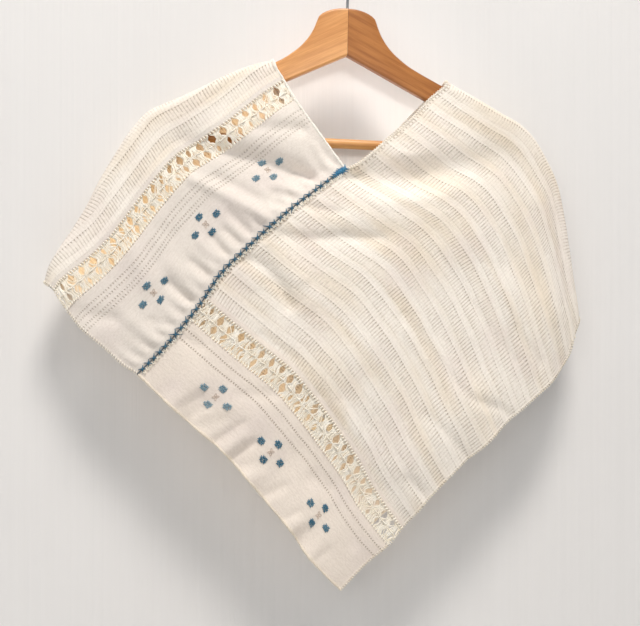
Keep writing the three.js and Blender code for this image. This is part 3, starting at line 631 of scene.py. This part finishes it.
class Web:
    """One web as a surface over s, 0 at its neck side and 1 at its hem side, and t, mm from
    its front end. Its creases fade out at its neck side and at the end that is sewn."""

    def __init__(self, ridge, lag, crest, band, front, back, ripple, creases, sewn):
        table = np.array(ridge, float)
        self.ridge, self.radii = line(table[:, :3]), line(table[:, [0, 3, 2]])
        self.lag, self.crest, self.band, self.ripple = lag, crest, band, ripple
        self.creases, self.sewn = creases, sewn
        self.front = patch(line(front["end"]), self.fold_top,
                           line([*front["neck"], self.fold_top(0.0)]),
                           line([*front["hem"], self.fold_top(1.0)]))
        self.back = patch(self.fold_low, line(back["end"]),
                          line([self.fold_low(0.0), *back["neck"]]),
                          line([self.fold_low(1.0), *back["hem"]]))
        self.outward = 1.0
        self.outward = -np.sign(self.normal(175.0, 60.0)[1])

    def fold_top(self, s):
        return self.over_arm(s, 0.0)

    def fold_low(self, s):
        return self.over_arm(s, pi)

    def over_arm(self, s, angle):
        s = np.asarray(s, float)
        angle = np.asarray(angle, float) + 0 * s
        t = self.ridge(np.minimum(1, s + 0.01)) - self.ridge(np.maximum(0, s - 0.01))
        out = unit(np.stack([-t[..., 2], 0 * s, t[..., 0]], -1))
        out = np.where(out[..., 2:] < 0, -out, out)
        t = unit(t)
        r = self.radii(s)[..., 1:2]
        sweep = (self.lag * smooth(0.7, 1, s) * (1 - np.sin(angle)))[..., None]
        away = np.stack([0 * angle, -np.cos(angle), 0 * angle], -1)
        return self.ridge(s) + out * r * (np.sin(angle)[..., None] - 1) + away * r + t * sweep

    def place(self, s, t):
        s, t = np.broadcast_arrays(np.asarray(s, float), np.asarray(t, float))
        a, b, c = self.crest
        crest = a * (1 - s) * (1 - 2 * s) + 4 * b * s * (1 - s) + c * s * (2 * s - 1)
        half = pi * self.radii(s)[..., 1] / 2
        t0, t1 = crest - half, crest + half
        f = self.front(s, np.clip(t / t0, 0, 1))
        b = self.back(s, np.clip((t - t1) / (WEB_LENGTH - t1), 0, 1))
        over = self.over_arm(s, pi * np.clip((t - t0) / (t1 - t0), 0, 1))
        f[..., 1] -= smooth(*FOLD_FADE, t0 - t) * creased(FRONT_FOLDS, f[..., 0], f[..., 2])
        b[..., 1] -= smooth(*FOLD_FADE, t - t1) * creased(BACK_FOLDS, b[..., 0], b[..., 2])
        flat = np.where((t <= t0)[..., None], f, b)
        flat[..., 1] += self.ripple(s, t)
        stands = creased(self.creases, s * WEB_WIDTH, t)
        stands = stands * smooth(*SEWN_FADE, np.abs(t - self.sewn))
        stands = stands * smooth(*NECK_FADE, s * WEB_WIDTH)
        flat[..., 1] += stands * np.where(t <= t0, -smooth(*CREASE_FADE, t0 - t),
                                          smooth(*CREASE_FADE, t - t1))
        return np.where(((t > t0) & (t < t1))[..., None], over, flat)

    def normal(self, across, along):
        step = 0.6
        a0, a1 = np.maximum(across - step, 0), np.minimum(across + step, WEB_WIDTH)
        t0, t1 = np.maximum(along - step, 0), np.minimum(along + step, WEB_LENGTH)
        ds = self.place(a1 / WEB_WIDTH, along) - self.place(a0 / WEB_WIDTH, along)
        dt = self.place(across / WEB_WIDTH, t1) - self.place(across / WEB_WIDTH, t0)
        return unit(np.cross(ds, dt) * self.outward)

    def at(self, across, along, lift=0.0):
        """A point mm across from the neck side and mm along from the front end, lifted off
        the cloth's middle, in metres."""
        across, along, lift = np.broadcast_arrays(*(np.asarray(v, float)
                                                    for v in (across, along, lift)))
        p = self.place(across / WEB_WIDTH, along) + self.normal(across, along) * lift[..., None]
        return p * MM

    def threads(self, name, across, along, lift, radius, sides, material):
        """Threads laid on this web, their radius in mm."""
        return strands(name, self.at(across, along, lift), radius * MM, sides,
                       self.normal(across, along), material)


def gathers(s, away):
    """Small gathers where an end is eased into a joining."""
    return (1.7 * smooth(3, 11, away) * np.exp(-np.maximum(0, away - 11) / 12)
            * (np.sin(2 * pi * 20.3 * s) + 0.45 * np.sin(2 * pi * 13.1 * s + 1))
            * smooth(0, 0.03, s) * smooth(1, 0.97, s))


def waves(along, away, pitch, high):
    """Slack waves along a loose hem."""
    swell = np.sin(2 * pi * along / pitch) + 0.7 * np.sin(2 * pi * along / pitch * 1.63 + 2)
    return high * np.exp(-away / 26) * swell * smooth(6, 40, along)


def left_ripple(s, t):
    return (gathers(s, t) + waves(t, (1 - s) * WEB_WIDTH, 74, 1.6)
            + waves(s * WEB_WIDTH, WEB_LENGTH - t, 88, 2.6))


def right_ripple(s, t):
    return (waves(s * WEB_WIDTH, t, 64, 2.2) + gathers(s, WEB_LENGTH - t)
            + waves(t, (1 - s) * WEB_WIDTH, 92, 2.2) * smooth(6, 40, WEB_LENGTH - t))


joins = [line(table)(np.linspace(0, 1, 25)) for table in (FRONT_JOIN, BACK_JOIN)]
front_left, front_right = beside(joins[0], 1), beside(joins[0], -1)
back_left, back_right = beside(joins[1], 1), beside(joins[1], -1)

LEFT = Web(
    LEFT_RIDGE, 5, (154, 184, 141), LEFT_BAND,
    {"end": front_left, "neck": [front_left[0], *LEFT_NECK], "hem": [front_left[-1], *LEFT_HEM]},
    {"end": [back_left[-1], *FREE_END_BACK, BACK_TIP], "hem": [*LEFT_HEM_BACK, BACK_TIP],
     "neck": [*LEFT_NECK_BACK[::-1], *back_left]}, left_ripple,
    LEFT_CREASES + again(RIGHT_CREASES), 0)
RIGHT = Web(
    RIGHT_RIDGE, 20, (464, 467, 452), RIGHT_BAND,
    {"end": [front_right[-1], *FREE_END], "neck": [*front_right[::-1], *RIGHT_NECK],
     "hem": [FREE_END[-1], *RIGHT_HEM]},
    {"end": back_right, "neck": [*RIGHT_NECK_BACK[::-1], back_right[0]],
     "hem": [*RIGHT_HEM_BACK, back_right[-1]]}, right_ripple,
    RIGHT_CREASES + again(LEFT_CREASES), WEB_LENGTH)


MM_PER_M = 1000
LADDER = 19.85
SLIT = 3.6
DRAWN = 3.3
# The plain strip beside an openwork band, over which the ladders set in, and how far the drawn
# stripes wander to one side and the other.
PLAIN_STRIP = (4, 8)
WANDER_ACROSS, WANDER_ALONG = 2.4, 5.0


def web_cloth(name, band, phase, drawn_lines, line_strength, dashed, border):
    """Unbleached handwoven cotton: ladder stripes across the web, each a band of fine slits
    with a dotted rail on its far side, a dense plain border at each end, and dotted
    drawn-thread lines in the border. dashed is 1 for a row of stitch holes beside the neck."""
    finish = Finish(name, 0.92, Sheen_Weight=0.12, Sheen_Roughness=0.5,
                    Specular_IOR_Level=0.15)
    plane = finish.on_uv()
    wander = finish.noise(plane, 22, 2)
    drift = finish.stretched(plane, (13, 30, 1))
    across, along, _ = finish.parts(plane)
    x = across * MM_PER_M + wander * WANDER_ACROSS
    y = along * MM_PER_M + drift * WANDER_ALONG - WANDER_ALONG / 2
    end = WEB_LENGTH / 2 - (along * MM_PER_M - WEB_LENGTH / 2).alone("ABSOLUTE")
    y_end = end + drift * WANDER_ALONG - WANDER_ALONG / 2
    field = end.step(*(band + BAND_EDGE + beyond for beyond in PLAIN_STRIP))
    worn = finish.stretched(plane, (20, 55, 1))
    turn = ((y - phase) / LADDER).alone("FRACT")
    fray = finish.stretched(plane, (34, 70, 1))
    ladder = (turn + fray * 0.34).step(0.50, 0.60) * (1 - turn.step(0.95, 0.99)) * field
    top_line = turn.near(0.41, 0.045) * field
    rail = turn.near(0.965, 0.05) * field
    lip = turn.near(0.03, 0.05) * field
    ragged = finish.stretched(plane, (240, 150, 1), 1)
    slit = x.sine(SLIT).step(0.0, 1.0) * ragged.step(0.22, 0.5)
    dot = x.sine(SLIT).step(-0.1, 0.8)
    drawn = sum(y_end.near(at, 1.3) for at in drawn_lines) * x.sine(DRAWN).step(0.1, 0.8)
    dashes = x.near(6.0, 1.5) * y.sine(4.4).step(0.0, 0.7) * field * dashed
    seen = worn.step(0.3, 0.62) * 0.75 + 0.25
    grain = finish.stretched(plane, (300, 430, 1), 3, 0.7)
    slub = finish.stretched(plane, (45, 620, 1))
    tan_bands = finish.stretched(plane, (5, 50, 1), 1)
    patches = finish.noise(plane, 12, 2)
    aside = finish.node("Mapping", {}, {"Vector": plane, "Location": (3, 1, 0)})
    pink = finish.noise(aside, 17, 2)
    field_colour = finish.blend((tan_bands * 0.65 + patches * 0.45).step(0.44, 0.78),
                                srgb(250, 242, 231), srgb(242, 228, 208))
    field_colour = finish.blend(pink.step(0.45, 0.75) * 0.5, field_colour, srgb(240, 227, 218))
    border_colour = finish.blend(pink.step(0.4, 0.75) * 0.45, border, srgb(226, 213, 207))
    colour = finish.blend(field, border_colour, field_colour)
    # Painted shade: the slits, the rail's dots, the drawn-thread lines and the stitch holes are
    # darkened towards brown for the shade seen through them, and the ladder bands a little; the
    # grain and slubs add the yarn's own uneven tone.
    gap_shade_and_grain = (ladder * slit * seen * 0.32 + ladder * 0.02 + top_line * 0.06
             + (field - ladder) * slit * seen * 0.11
             + rail * dot * seen * 0.36 + drawn * line_strength + dashes * 0.5
             + slub.step(0.45, 0.75) * 0.08 + (grain - 0.4) * 0.42)
    finish.paint(finish.blend(gap_shade_and_grain, colour, srgb(150, 126, 96)))
    height = (slub * 0.2 - grain * 0.55 - ladder * slit * seen * 0.45 - ladder * 0.06
              - (field - ladder) * slit * 0.16 - rail * dot * 0.6 + lip * 0.25
              - top_line * 0.1 - drawn * 0.9)
    finish.relief(height, 0.0011, 0.8)
    return finish.material


def web_piece(name, web, material):
    """The web in three stretches, parted by the openwork near each end."""
    low, high = web.band - BAND_EDGE, web.band + BAND_EDGE
    columns = np.linspace(0, WEB_WIDTH, round(WEB_WIDTH / GRID) + 1)
    points, faces, plane = [], [], []
    base = 0
    for start, stop in ((0, low), (high, WEB_LENGTH - high), (WEB_LENGTH - low, WEB_LENGTH)):
        rows = np.linspace(start, stop, round((stop - start) / GRID) + 1)
        across, along = np.meshgrid(columns, rows)
        points.append(web.place(across / WEB_WIDTH, along).reshape(-1, 3) * MM)
        plane.append(np.stack([across, along], -1).reshape(-1, 2) * MM)
        corner = base + (np.arange(len(rows) - 1)[:, None] * len(columns)
                         + np.arange(len(columns) - 1)).ravel()
        ring = np.stack([corner, corner + 1, corner + 1 + len(columns),
                         corner + len(columns)], -1)
        faces.append(ring if web.outward > 0 else ring[:, ::-1])
        base += across.size
    faces, plane = np.vstack(faces), np.vstack(plane)
    piece = mesh_piece(name, np.vstack(points), faces.tolist(), plane[faces].reshape(-1, 2),
                       material)
    choose(piece)
    wall_of_cloth = piece.modifiers.new("thickness", "SOLIDIFY")
    wall_of_cloth.thickness = CLOTH * MM
    wall_of_cloth.offset = 0
    bpy.ops.object.modifier_apply(modifier=wall_of_cloth.name)
    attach(piece, "root")
    return piece


web_left = web_piece("cloth_left", LEFT, web_cloth(
    "cotton_left", LEFT_BAND, 8.5, [LEFT_BAND - below for below in (43, 38.5, 31.5, 26)], 0.36,
    0, srgb(233, 224, 214)))
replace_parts(web_left, "web_left")
web_right = web_piece("cloth_right", RIGHT, web_cloth(
    "cotton_right", RIGHT_BAND, 0.5, (RIGHT_BAND - 33.5, RIGHT_BAND - 23), 0.54, 1,
    srgb(242, 230, 217)))
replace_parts(web_right, "web_right")

# The openwork near each end of a web: the lengthwise threads are pinched into sheaves on both
# sides of one laid thread, so two rows of gaps lie in line, and comb out at both edges.
REPEATS = 24
THREADS = 12
COMBED = 3
THREAD_RADIUS = 0.56
LAID_RADIUS = 0.72
LAID_STEPS = 10
TUCKED = 1.2
THREAD_MARGIN, SIDE_MARGIN = 0.6, 0.8
STRAYS = 0.16
# How much a sheaf keeps of its width at its waist farther from the web's end and at the one
# nearer it, how far its middle slips and its ends slant, in shares of a sheaf, and how far its
# tie moves along the web, in mm.
WAIST, WAIST_LOW = (0.42, 0.60), (0.52, 0.80)
SLIP, SLANT = (-0.10, 0.10), (-0.10, 0.06)
TIE = (-1.1, 0.5)
rng = np.random.default_rng(7)
on_web = {"left": [], "right": []}


def sewn_on(side, piece):
    """Count a piece of needlework in with the web that it is worked on."""
    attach(piece, "root")
    on_web[side].append(piece)


def yarn(name, light, dark, twist=1.4):
    """Soft plied yarn, its twist a number of mm."""
    finish = Finish(name, 0.95, Sheen_Weight=0.15, Sheen_Roughness=0.5,
                    Specular_IOR_Level=0.15)
    ply = finish.twist(MM_PER_M / twist)
    mottle = finish.noise(finish.on_object(), 180)
    # The grooves between the plies are painted a little darker than the ridges: painted shade.
    finish.paint(finish.blend((mottle * 0.9 + ply * -0.15).step(0.2, 0.75), light, dark))
    finish.relief(ply * 0.5, 0.0003, 0.7)
    return finish.material


cream_yarn = yarn("cream_yarn", srgb(254, 249, 238), srgb(243, 231, 209))


def on_end(along, end):
    return along if end == 0 else WEB_LENGTH - along


def openwork(side, where, web, end):
    """One band of sheaves, each with its own two waists, slant and height."""
    pitch = WEB_WIDTH / REPEATS
    threads = np.arange(REPEATS * THREADS)
    start = (threads + 0.5) / THREADS
    combed = (threads // COMBED + 0.5) * COMBED / THREADS
    sheaf = threads // THREADS
    waist, waist_low, slip, slant, tie = (
        rng.uniform(*span, REPEATS)[sheaf] for span in (WAIST, WAIST_LOW, SLIP, SLANT, TIE))
    share = np.linspace(0, 1, 21)[:, None]
    pull = (smooth(0.10, 0.24, share) * smooth(0.46, 0.34, share) * (1 - waist_low)
            + smooth(0.54, 0.66, share) * smooth(0.93, 0.78, share) * (1 - waist))
    held = smooth(0.13, 0.37, share) * smooth(0.87, 0.63, share)
    edge = np.abs(2 * share - 1) ** 3
    middle = sheaf + 0.5
    place = combed + (start - combed) * (1 - 0.42 * edge)
    place = middle + (place - middle) * (1 - pull)
    stray = rng.uniform(-0.5, 0.5, start.size) * (rng.random(start.size) < STRAYS)
    place = place + (slip + stray) * held + slant * np.sin(2 * pi * share)
    wobble = rng.normal(0, 0.16, place.shape) * np.sin(pi * share)
    across = np.clip(place.T * pitch + wobble.T, THREAD_MARGIN, WEB_WIDTH - THREAD_MARGIN)
    along = web.band + (share.T - 0.5) * (2 * BAND_EDGE + 2 * TUCKED)
    along = on_end(along + tie[:, None] * np.sin(pi * share.T), end)
    heap = rng.uniform(-0.2, 1.0, start.size)[:, None] * np.sin(pi * share.T) ** 2
    sewn_on(side, web.threads(f"openwork_{side}_{where}", across, along, heap, THREAD_RADIUS, 6,
                              cream_yarn))
    u = np.linspace(0, REPEATS, REPEATS * LAID_STEPS + 1)
    ties = np.interp(u, np.arange(REPEATS) + 0.5, tie[::THREADS])
    dips = np.cos(2 * pi * u)
    across = np.clip(u * pitch, SIDE_MARGIN, WEB_WIDTH - SIDE_MARGIN)
    laid = []
    for face in (1, -1):
        along = on_end(web.band + ties + 0.35 * face * np.sin(4 * pi * u), end)
        laid.append((across, along, face * (0.75 - 0.75 * dips)))
    across, along, lift = (np.array(v) for v in zip(*laid))
    sewn_on(side, web.threads(f"laid_thread_{side}_{where}", across, along, lift, LAID_RADIUS, 6,
                              cream_yarn))


def hemstitches(side, where, web, end):
    """Short stitches that grip the cloth over each comb of threads along both edges."""
    pitch, sides = WEB_WIDTH / REPEATS / THREADS * COMBED, []
    for edge in (-1, 1):
        first = (np.arange(REPEATS * THREADS // COMBED) + 0.5) * pitch
        first = first + rng.normal(0, 0.22, first.size)
        u = np.linspace(-1, 1, 6)
        across = first[:, None] + u * 0.75
        reach = rng.uniform(1.4, 2.4, (first.size, 1)) * (1 if edge > 0 else 0.6)
        along = on_end(web.band + edge * (BAND_EDGE - 0.4 + u * reach), end)
        sides.append((across, along, 0.55 + 0.75 * np.cos(pi / 2 * u) + 0 * across))
    across, along, lift = (np.vstack(v) for v in zip(*sides))
    across = np.clip(across, SIDE_MARGIN, WEB_WIDTH - SIDE_MARGIN)
    taper = np.array([0.35, 0.7, 0.9, 0.9, 0.7, 0.35])
    sewn_on(side, web.threads(f"hemstitches_{side}_{where}", across, along, lift, taper, 6,
                              cream_yarn))


for side, web in (("left", LEFT), ("right", RIGHT)):
    for end, where in ((0, "front"), (1, "back")):
        openwork(side, where, web, end)
        hemstitches(side, where, web, end)

# The embroidery: at each end three motifs of four small blocks round an open cross, worked in
# counted cross stitch with faded blue thread, the cross in a pale brown thread.
# Each motif: mm across, mm along from the end, and how worn its blue is.
LEFT_MOTIFS = ((74.3, 51.2, "worn"), (172.0, 48.0, "fresh"), (268.0, 46.4, "soft"))
RIGHT_MOTIFS = ((81.0, 35.8, "worn"), (172.5, 34.9, "fresh"), (266.5, 34.2, "soft"))
BLOCK_ACROSS, BLOCK_ALONG = 17.3, 10.3
STITCH_ACROSS, STITCH_ALONG = 2.35, 2.05
STITCH_RADIUS = 0.5
CROSS_RADIUS = 0.32
# One block: three rows of stitches, the middle one longer at both ends.
BLOCK = [(-1, -1), (0, -1), (1, -1), (-1.6, 0), (-0.6, 0), (0.4, 0), (1.4, 0),
         (-0.9, 1), (0.1, 1), (1.1, 1)]


def blue(name, fresh, faded):
    finish = Finish(name, 0.9, Sheen_Weight=0.1, Specular_IOR_Level=0.15)
    place = finish.on_object()
    tone = finish.noise(place, 60, 1) * 0.5 + finish.noise(place, 700, 2) * 0.7
    finish.paint(finish.blend(tone.step(0.35, 0.9), fresh, faded))
    finish.relief(finish.twist(900), 0.0002)
    return finish.material


blues = {"fresh": blue("indigo_fresh", srgb(48, 106, 134), srgb(108, 152, 172)),
         "soft": blue("indigo_soft", srgb(62, 116, 142), srgb(130, 166, 182)),
         "worn": blue("indigo_worn", srgb(94, 142, 164), srgb(172, 194, 202))}
brown_yarn = yarn("brown_yarn", srgb(222, 206, 190), srgb(186, 164, 146))


def cross_stitches(centres):
    """The two crossing threads of each stitch: across, along and lift of their points."""
    u = np.linspace(-0.5, 0.5, 5)
    centres = centres + rng.normal(0, 0.22, centres.shape)
    rows = []
    for over, lean in enumerate((1, -1)):
        size = rng.uniform(0.95, 1.3, (len(centres), 1))
        across = centres[:, :1] + u * size * STITCH_ACROSS
        along = centres[:, 1:] + lean * u * size * STITCH_ALONG
        lift = 0.7 + (0.35 + 0.4 * over) * np.cos(pi * u) + 0 * across
        rows.append((across, along, lift))
    return [np.vstack(v) for v in zip(*rows)]


def motifs(side, where, web, middles, end):
    blocks = np.array([(BLOCK_ACROSS, 0), (-BLOCK_ACROSS, 0), (0, BLOCK_ALONG),
                       (0, -BLOCK_ALONG)])
    for tone in blues:
        kept = [m[:2] for m in middles if m[2] == tone]
        centres = np.array([np.array(m) + q + (i * STITCH_ACROSS, j * STITCH_ALONG)
                            for m in kept for q in blocks for i, j in BLOCK])
        across, along, lift = cross_stitches(centres)
        along = on_end(along, end)
        taper = STITCH_RADIUS * np.array([0.5, 0.95, 1.1, 0.95, 0.5])
        sewn_on(side, web.threads(f"blocks_{tone}_{side}_{where}", across, along, lift, taper, 6,
                                  blues[tone]))
    loops = []
    turn = np.linspace(0, 2 * pi, 13)[:-1]
    for m in middles:
        for k in range(4):
            lean = pi / 2 * k + pi / 4
            reach, half = 1.9 * (1 - np.cos(turn)), 0.95 * np.sin(turn)
            loops.append((m[0] + reach * np.cos(lean) - half * np.sin(lean),
                          on_end(m[1] + reach * np.sin(lean) + half * np.cos(lean), end)))
    across, along = (np.array(v) for v in zip(*loops))
    sewn_on(side, web.threads(f"open_crosses_{side}_{where}", across, along, 0.85, CROSS_RADIUS,
                              5, brown_yarn))


for side, web, middles in (("left", LEFT, LEFT_MOTIFS), ("right", RIGHT, RIGHT_MOTIFS)):
    for end, where in ((0, "front"), (1, "back")):
        motifs(side, where, web, middles, end)

# The joinings: a dark slate cord laid over the seam and held every 8 mm by a cross of the same
# thread, worked closer at the point of the V, with small cream loops along one side.
KNOT_PITCH = 8.4
KNOT_REACH = 5.3
PLY_RADIUS = 0.5
PLY_APART = 0.34
PLY_TURN = 4.6
LOOP_PITCH = 4.6
LOOP_RADIUS = 0.62
LOOP_DEPTH = (2.6, 4.4)
# Crosses that close the point of the V: mm along the joining.
CLOSE_STITCHES = np.array([0.8, 2.4, 4.2, 5.8, 7.8, 10.2, 13.4])


def seam_thread(name, dark, light):
    finish = Finish(name, 0.85, Sheen_Weight=0.1, Specular_IOR_Level=0.25)
    fleck = finish.noise(finish.on_object(), 700)
    finish.paint(finish.blend(fleck.step(0.3, 0.8), dark, light))
    return finish


slate_thread = seam_thread("slate_thread", srgb(50, 98, 124), srgb(92, 136, 158))
slate_thread.relief(slate_thread.twist(800), 0.0003)
bright_thread = seam_thread("blue_thread", srgb(40, 102, 140), srgb(88, 148, 178))
core_thread = yarn("core_thread", srgb(130, 126, 118), srgb(78, 106, 124), 2.0)


def seam_frame(curve, outward, u):
    """Points of a joining at shares of its length, with the directions along it, out of the
    cloth, and across it."""
    p = curve(u)
    t = unit(curve(np.minimum(1, u + 0.01)) - curve(np.maximum(0, u - 0.01)))
    n = unit(np.array([0, outward, 0]) - outward * t[..., 1:2] * t)
    return p, t, n, np.cross(t, n)


def joining(side, where, web, end, outward):
    shares = np.linspace(0, 1, 90)
    sewn = web.place(shares, 0 * shares + end)
    length = lengths(sewn)[-1]
    curve = line(sewn)
    u = np.linspace(0.0, 1.0, 400)
    p, t, n, q = seam_frame(curve, outward, u)
    base = p + n * (CLOTH / 2 + 0.45)
    turn = (2 * pi * u * length / PLY_TURN)[:, None]
    plies = [base + PLY_APART * (q * np.cos(turn + k) + n * np.sin(turn + k)) for k in (0, pi)]
    cord = strands(f"seam_cord_{where}", np.array(plies) * MM, PLY_RADIUS * MM, 6, n,
                   core_thread)
    sewn_on(side, cord)
    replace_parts(cord, f"joining_{where}")

    knots = np.arange(KNOT_PITCH * 2.1, length - 2, KNOT_PITCH)
    knots = (knots + rng.normal(0, 0.4, knots.size)) / length
    for tone, thread, places in (("slate", slate_thread, knots),
                                 ("blue", bright_thread, CLOSE_STITCHES / length)):
        p, t, n, q = (v[:, None] for v in seam_frame(curve, outward, places))
        w = np.linspace(-1, 1, 9)[:, None]
        paths = []
        for over, lean in enumerate((1, -1)):
            reach = KNOT_REACH * (1 + rng.normal(0, 0.13, (places.size, 1, 1)))
            lean = lean * (1 + rng.normal(0, 0.1, (places.size, 1, 1)))
            paths.append(p + (t + lean * q) / 2 ** 0.5 * w * reach
                         + n * (CLOTH / 2 + 0.1 + (1.5 + 0.6 * over) * np.cos(pi / 2 * w) ** 2))
        taper = np.array([0.2, 0.40, 0.54, 0.8, 1.05, 0.8, 0.54, 0.40, 0.2]) * MM
        sewn_on(side, strands(f"seam_knots_{tone}_{where}", np.vstack(paths) * MM, taper, 6,
                              np.tile(n, (2, 9, 1)), thread.material))

    places = np.arange(9, length - 6, LOOP_PITCH)
    places = (places + rng.normal(0, 0.35, places.size)) / length
    p, t, n, q = (v[:, None] for v in seam_frame(curve, outward, places))
    turn = np.linspace(0, pi, 8)[:, None]
    deep = rng.uniform(*LOOP_DEPTH, (places.size, 1, 1))
    paths = (p - q * (1.0 + deep * np.sin(turn)) - t * 1.35 * np.cos(turn)
             + n * (CLOTH / 2 + 0.4 + 1.0 * np.sin(turn)))
    sewn_on(side, strands(f"seam_loops_{where}", paths * MM, LOOP_RADIUS * MM, 5,
                          np.tile(n, (1, 8, 1)), cream_yarn))


joining("right", "front", LEFT, 0, -1)
joining("left", "back", RIGHT, WEB_LENGTH, 1)

# The edges: the cut ends and the left neck edge are turned in a narrow roll, and the selvages
# and the right neck edge are whipped over with cream yarn.
ROLL_RADIUS = 1.5
WHIP_PITCH = 3.0
WHIP_REACH = 2.6


def nearest_along(web, point):
    """Where along its neck side a web passes a point."""
    along = np.linspace(0, WEB_LENGTH, 1241)
    away = np.linalg.norm(web.place(0.0, along) - np.array(point), axis=-1)
    return along[away.argmin()]


left_neck_end = nearest_along(LEFT, joins[1][0])
right_neck_start = nearest_along(RIGHT, joins[0][0])


def edge_points(web, across, along):
    """Points of an edge with the directions along it, into the cloth, and out of its face."""
    p = web.place(across / WEB_WIDTH, along)
    inner = web.place(np.clip(across, 3, WEB_WIDTH - 3) / WEB_WIDTH,
                      np.clip(along, 3, WEB_LENGTH - 3))
    t = unit(np.gradient(p, axis=0))
    inward = inner - p
    inward = unit(inward - (inward * t).sum(-1, keepdims=True) * t)
    return p, t, inward, np.cross(t, inward)


def rolled(name, side, web, across, along):
    """A narrow turned hem, uneven as hand sewing is."""
    p, _, inward, face = edge_points(web, across, along)
    run = lengths(p)
    uneven = 1 + 0.10 * np.sin(run / 2.1) + 0.12 * np.sin(run / 7.3 + 1) + 0.08 * np.sin(run)
    path = (p + inward * ROLL_RADIUS * 0.5) * MM
    sewn_on(side, strands(name, [path], ROLL_RADIUS * uneven * MM, 9, face, hem_cotton[side]))


def whipped(name, side, web, across, along):
    """Slanted stitches over an edge."""
    p, t, inward, face = edge_points(web, across, along)
    run = lengths(p)
    stops = np.arange(1.0, run[-1] - 1.0, WHIP_PITCH)
    stops = stops + rng.normal(0, 0.2, stops.size)
    p, t, inward, face = (np.stack([np.interp(stops, run, v[:, k]) for k in range(3)],
                                   -1)[:, None] for v in (p, t, inward, face))
    outer, inner = WHIP_REACH, WHIP_REACH * 0.55
    deep = np.array([outer, inner, 0.1, -0.55, 0.1, inner, outer])[:, None]
    high = np.array([0.75, 1.25, 1.05, 0.0, -1.05, -1.25, -0.75])[:, None]
    slant = np.linspace(-0.9, 0.9, 7)[:, None]
    path = p + inward * deep + face * high + t * slant
    taper = np.array([0.3, 0.5, 0.55, 0.55, 0.55, 0.5, 0.3]) * MM
    sewn_on(side, strands(name, path * MM, taper, 5, np.tile(t, (1, 7, 1)), cream_yarn))


def hem_finish(name, colour):
    finish = Finish(name, 0.92, Sheen_Weight=0.2, Specular_IOR_Level=0.2)
    fine = finish.noise(finish.on_object(), 900)
    finish.paint(finish.blend(fine.step(0.3, 0.8) * 0.5, colour, srgb(205, 186, 152)))
    finish.relief(fine, 0.0005)
    return finish.material


hem_cotton = {"right": hem_finish("hem_cotton", srgb(240, 228, 212)),
              "left": hem_finish("hem_cotton_white", srgb(247, 243, 236))}

full = np.linspace(0, WEB_LENGTH, 400)
wide = np.linspace(0, WEB_WIDTH, 260)
rolled("neck_roll_left", "left", LEFT, 0 * full, full * left_neck_end / WEB_LENGTH)
whipped("neck_whip_right", "right", RIGHT, 0 * full,
        right_neck_start + (WEB_LENGTH - right_neck_start) * full / WEB_LENGTH)
whipped("hem_whip_left", "left", LEFT, 0 * full + WEB_WIDTH, full)
whipped("hem_whip_right", "right", RIGHT, 0 * full + WEB_WIDTH, full)
rolled("end_roll_left", "left", LEFT, wide, 0 * wide + WEB_LENGTH)
rolled("end_roll_right", "right", RIGHT, wide, 0 * wide)
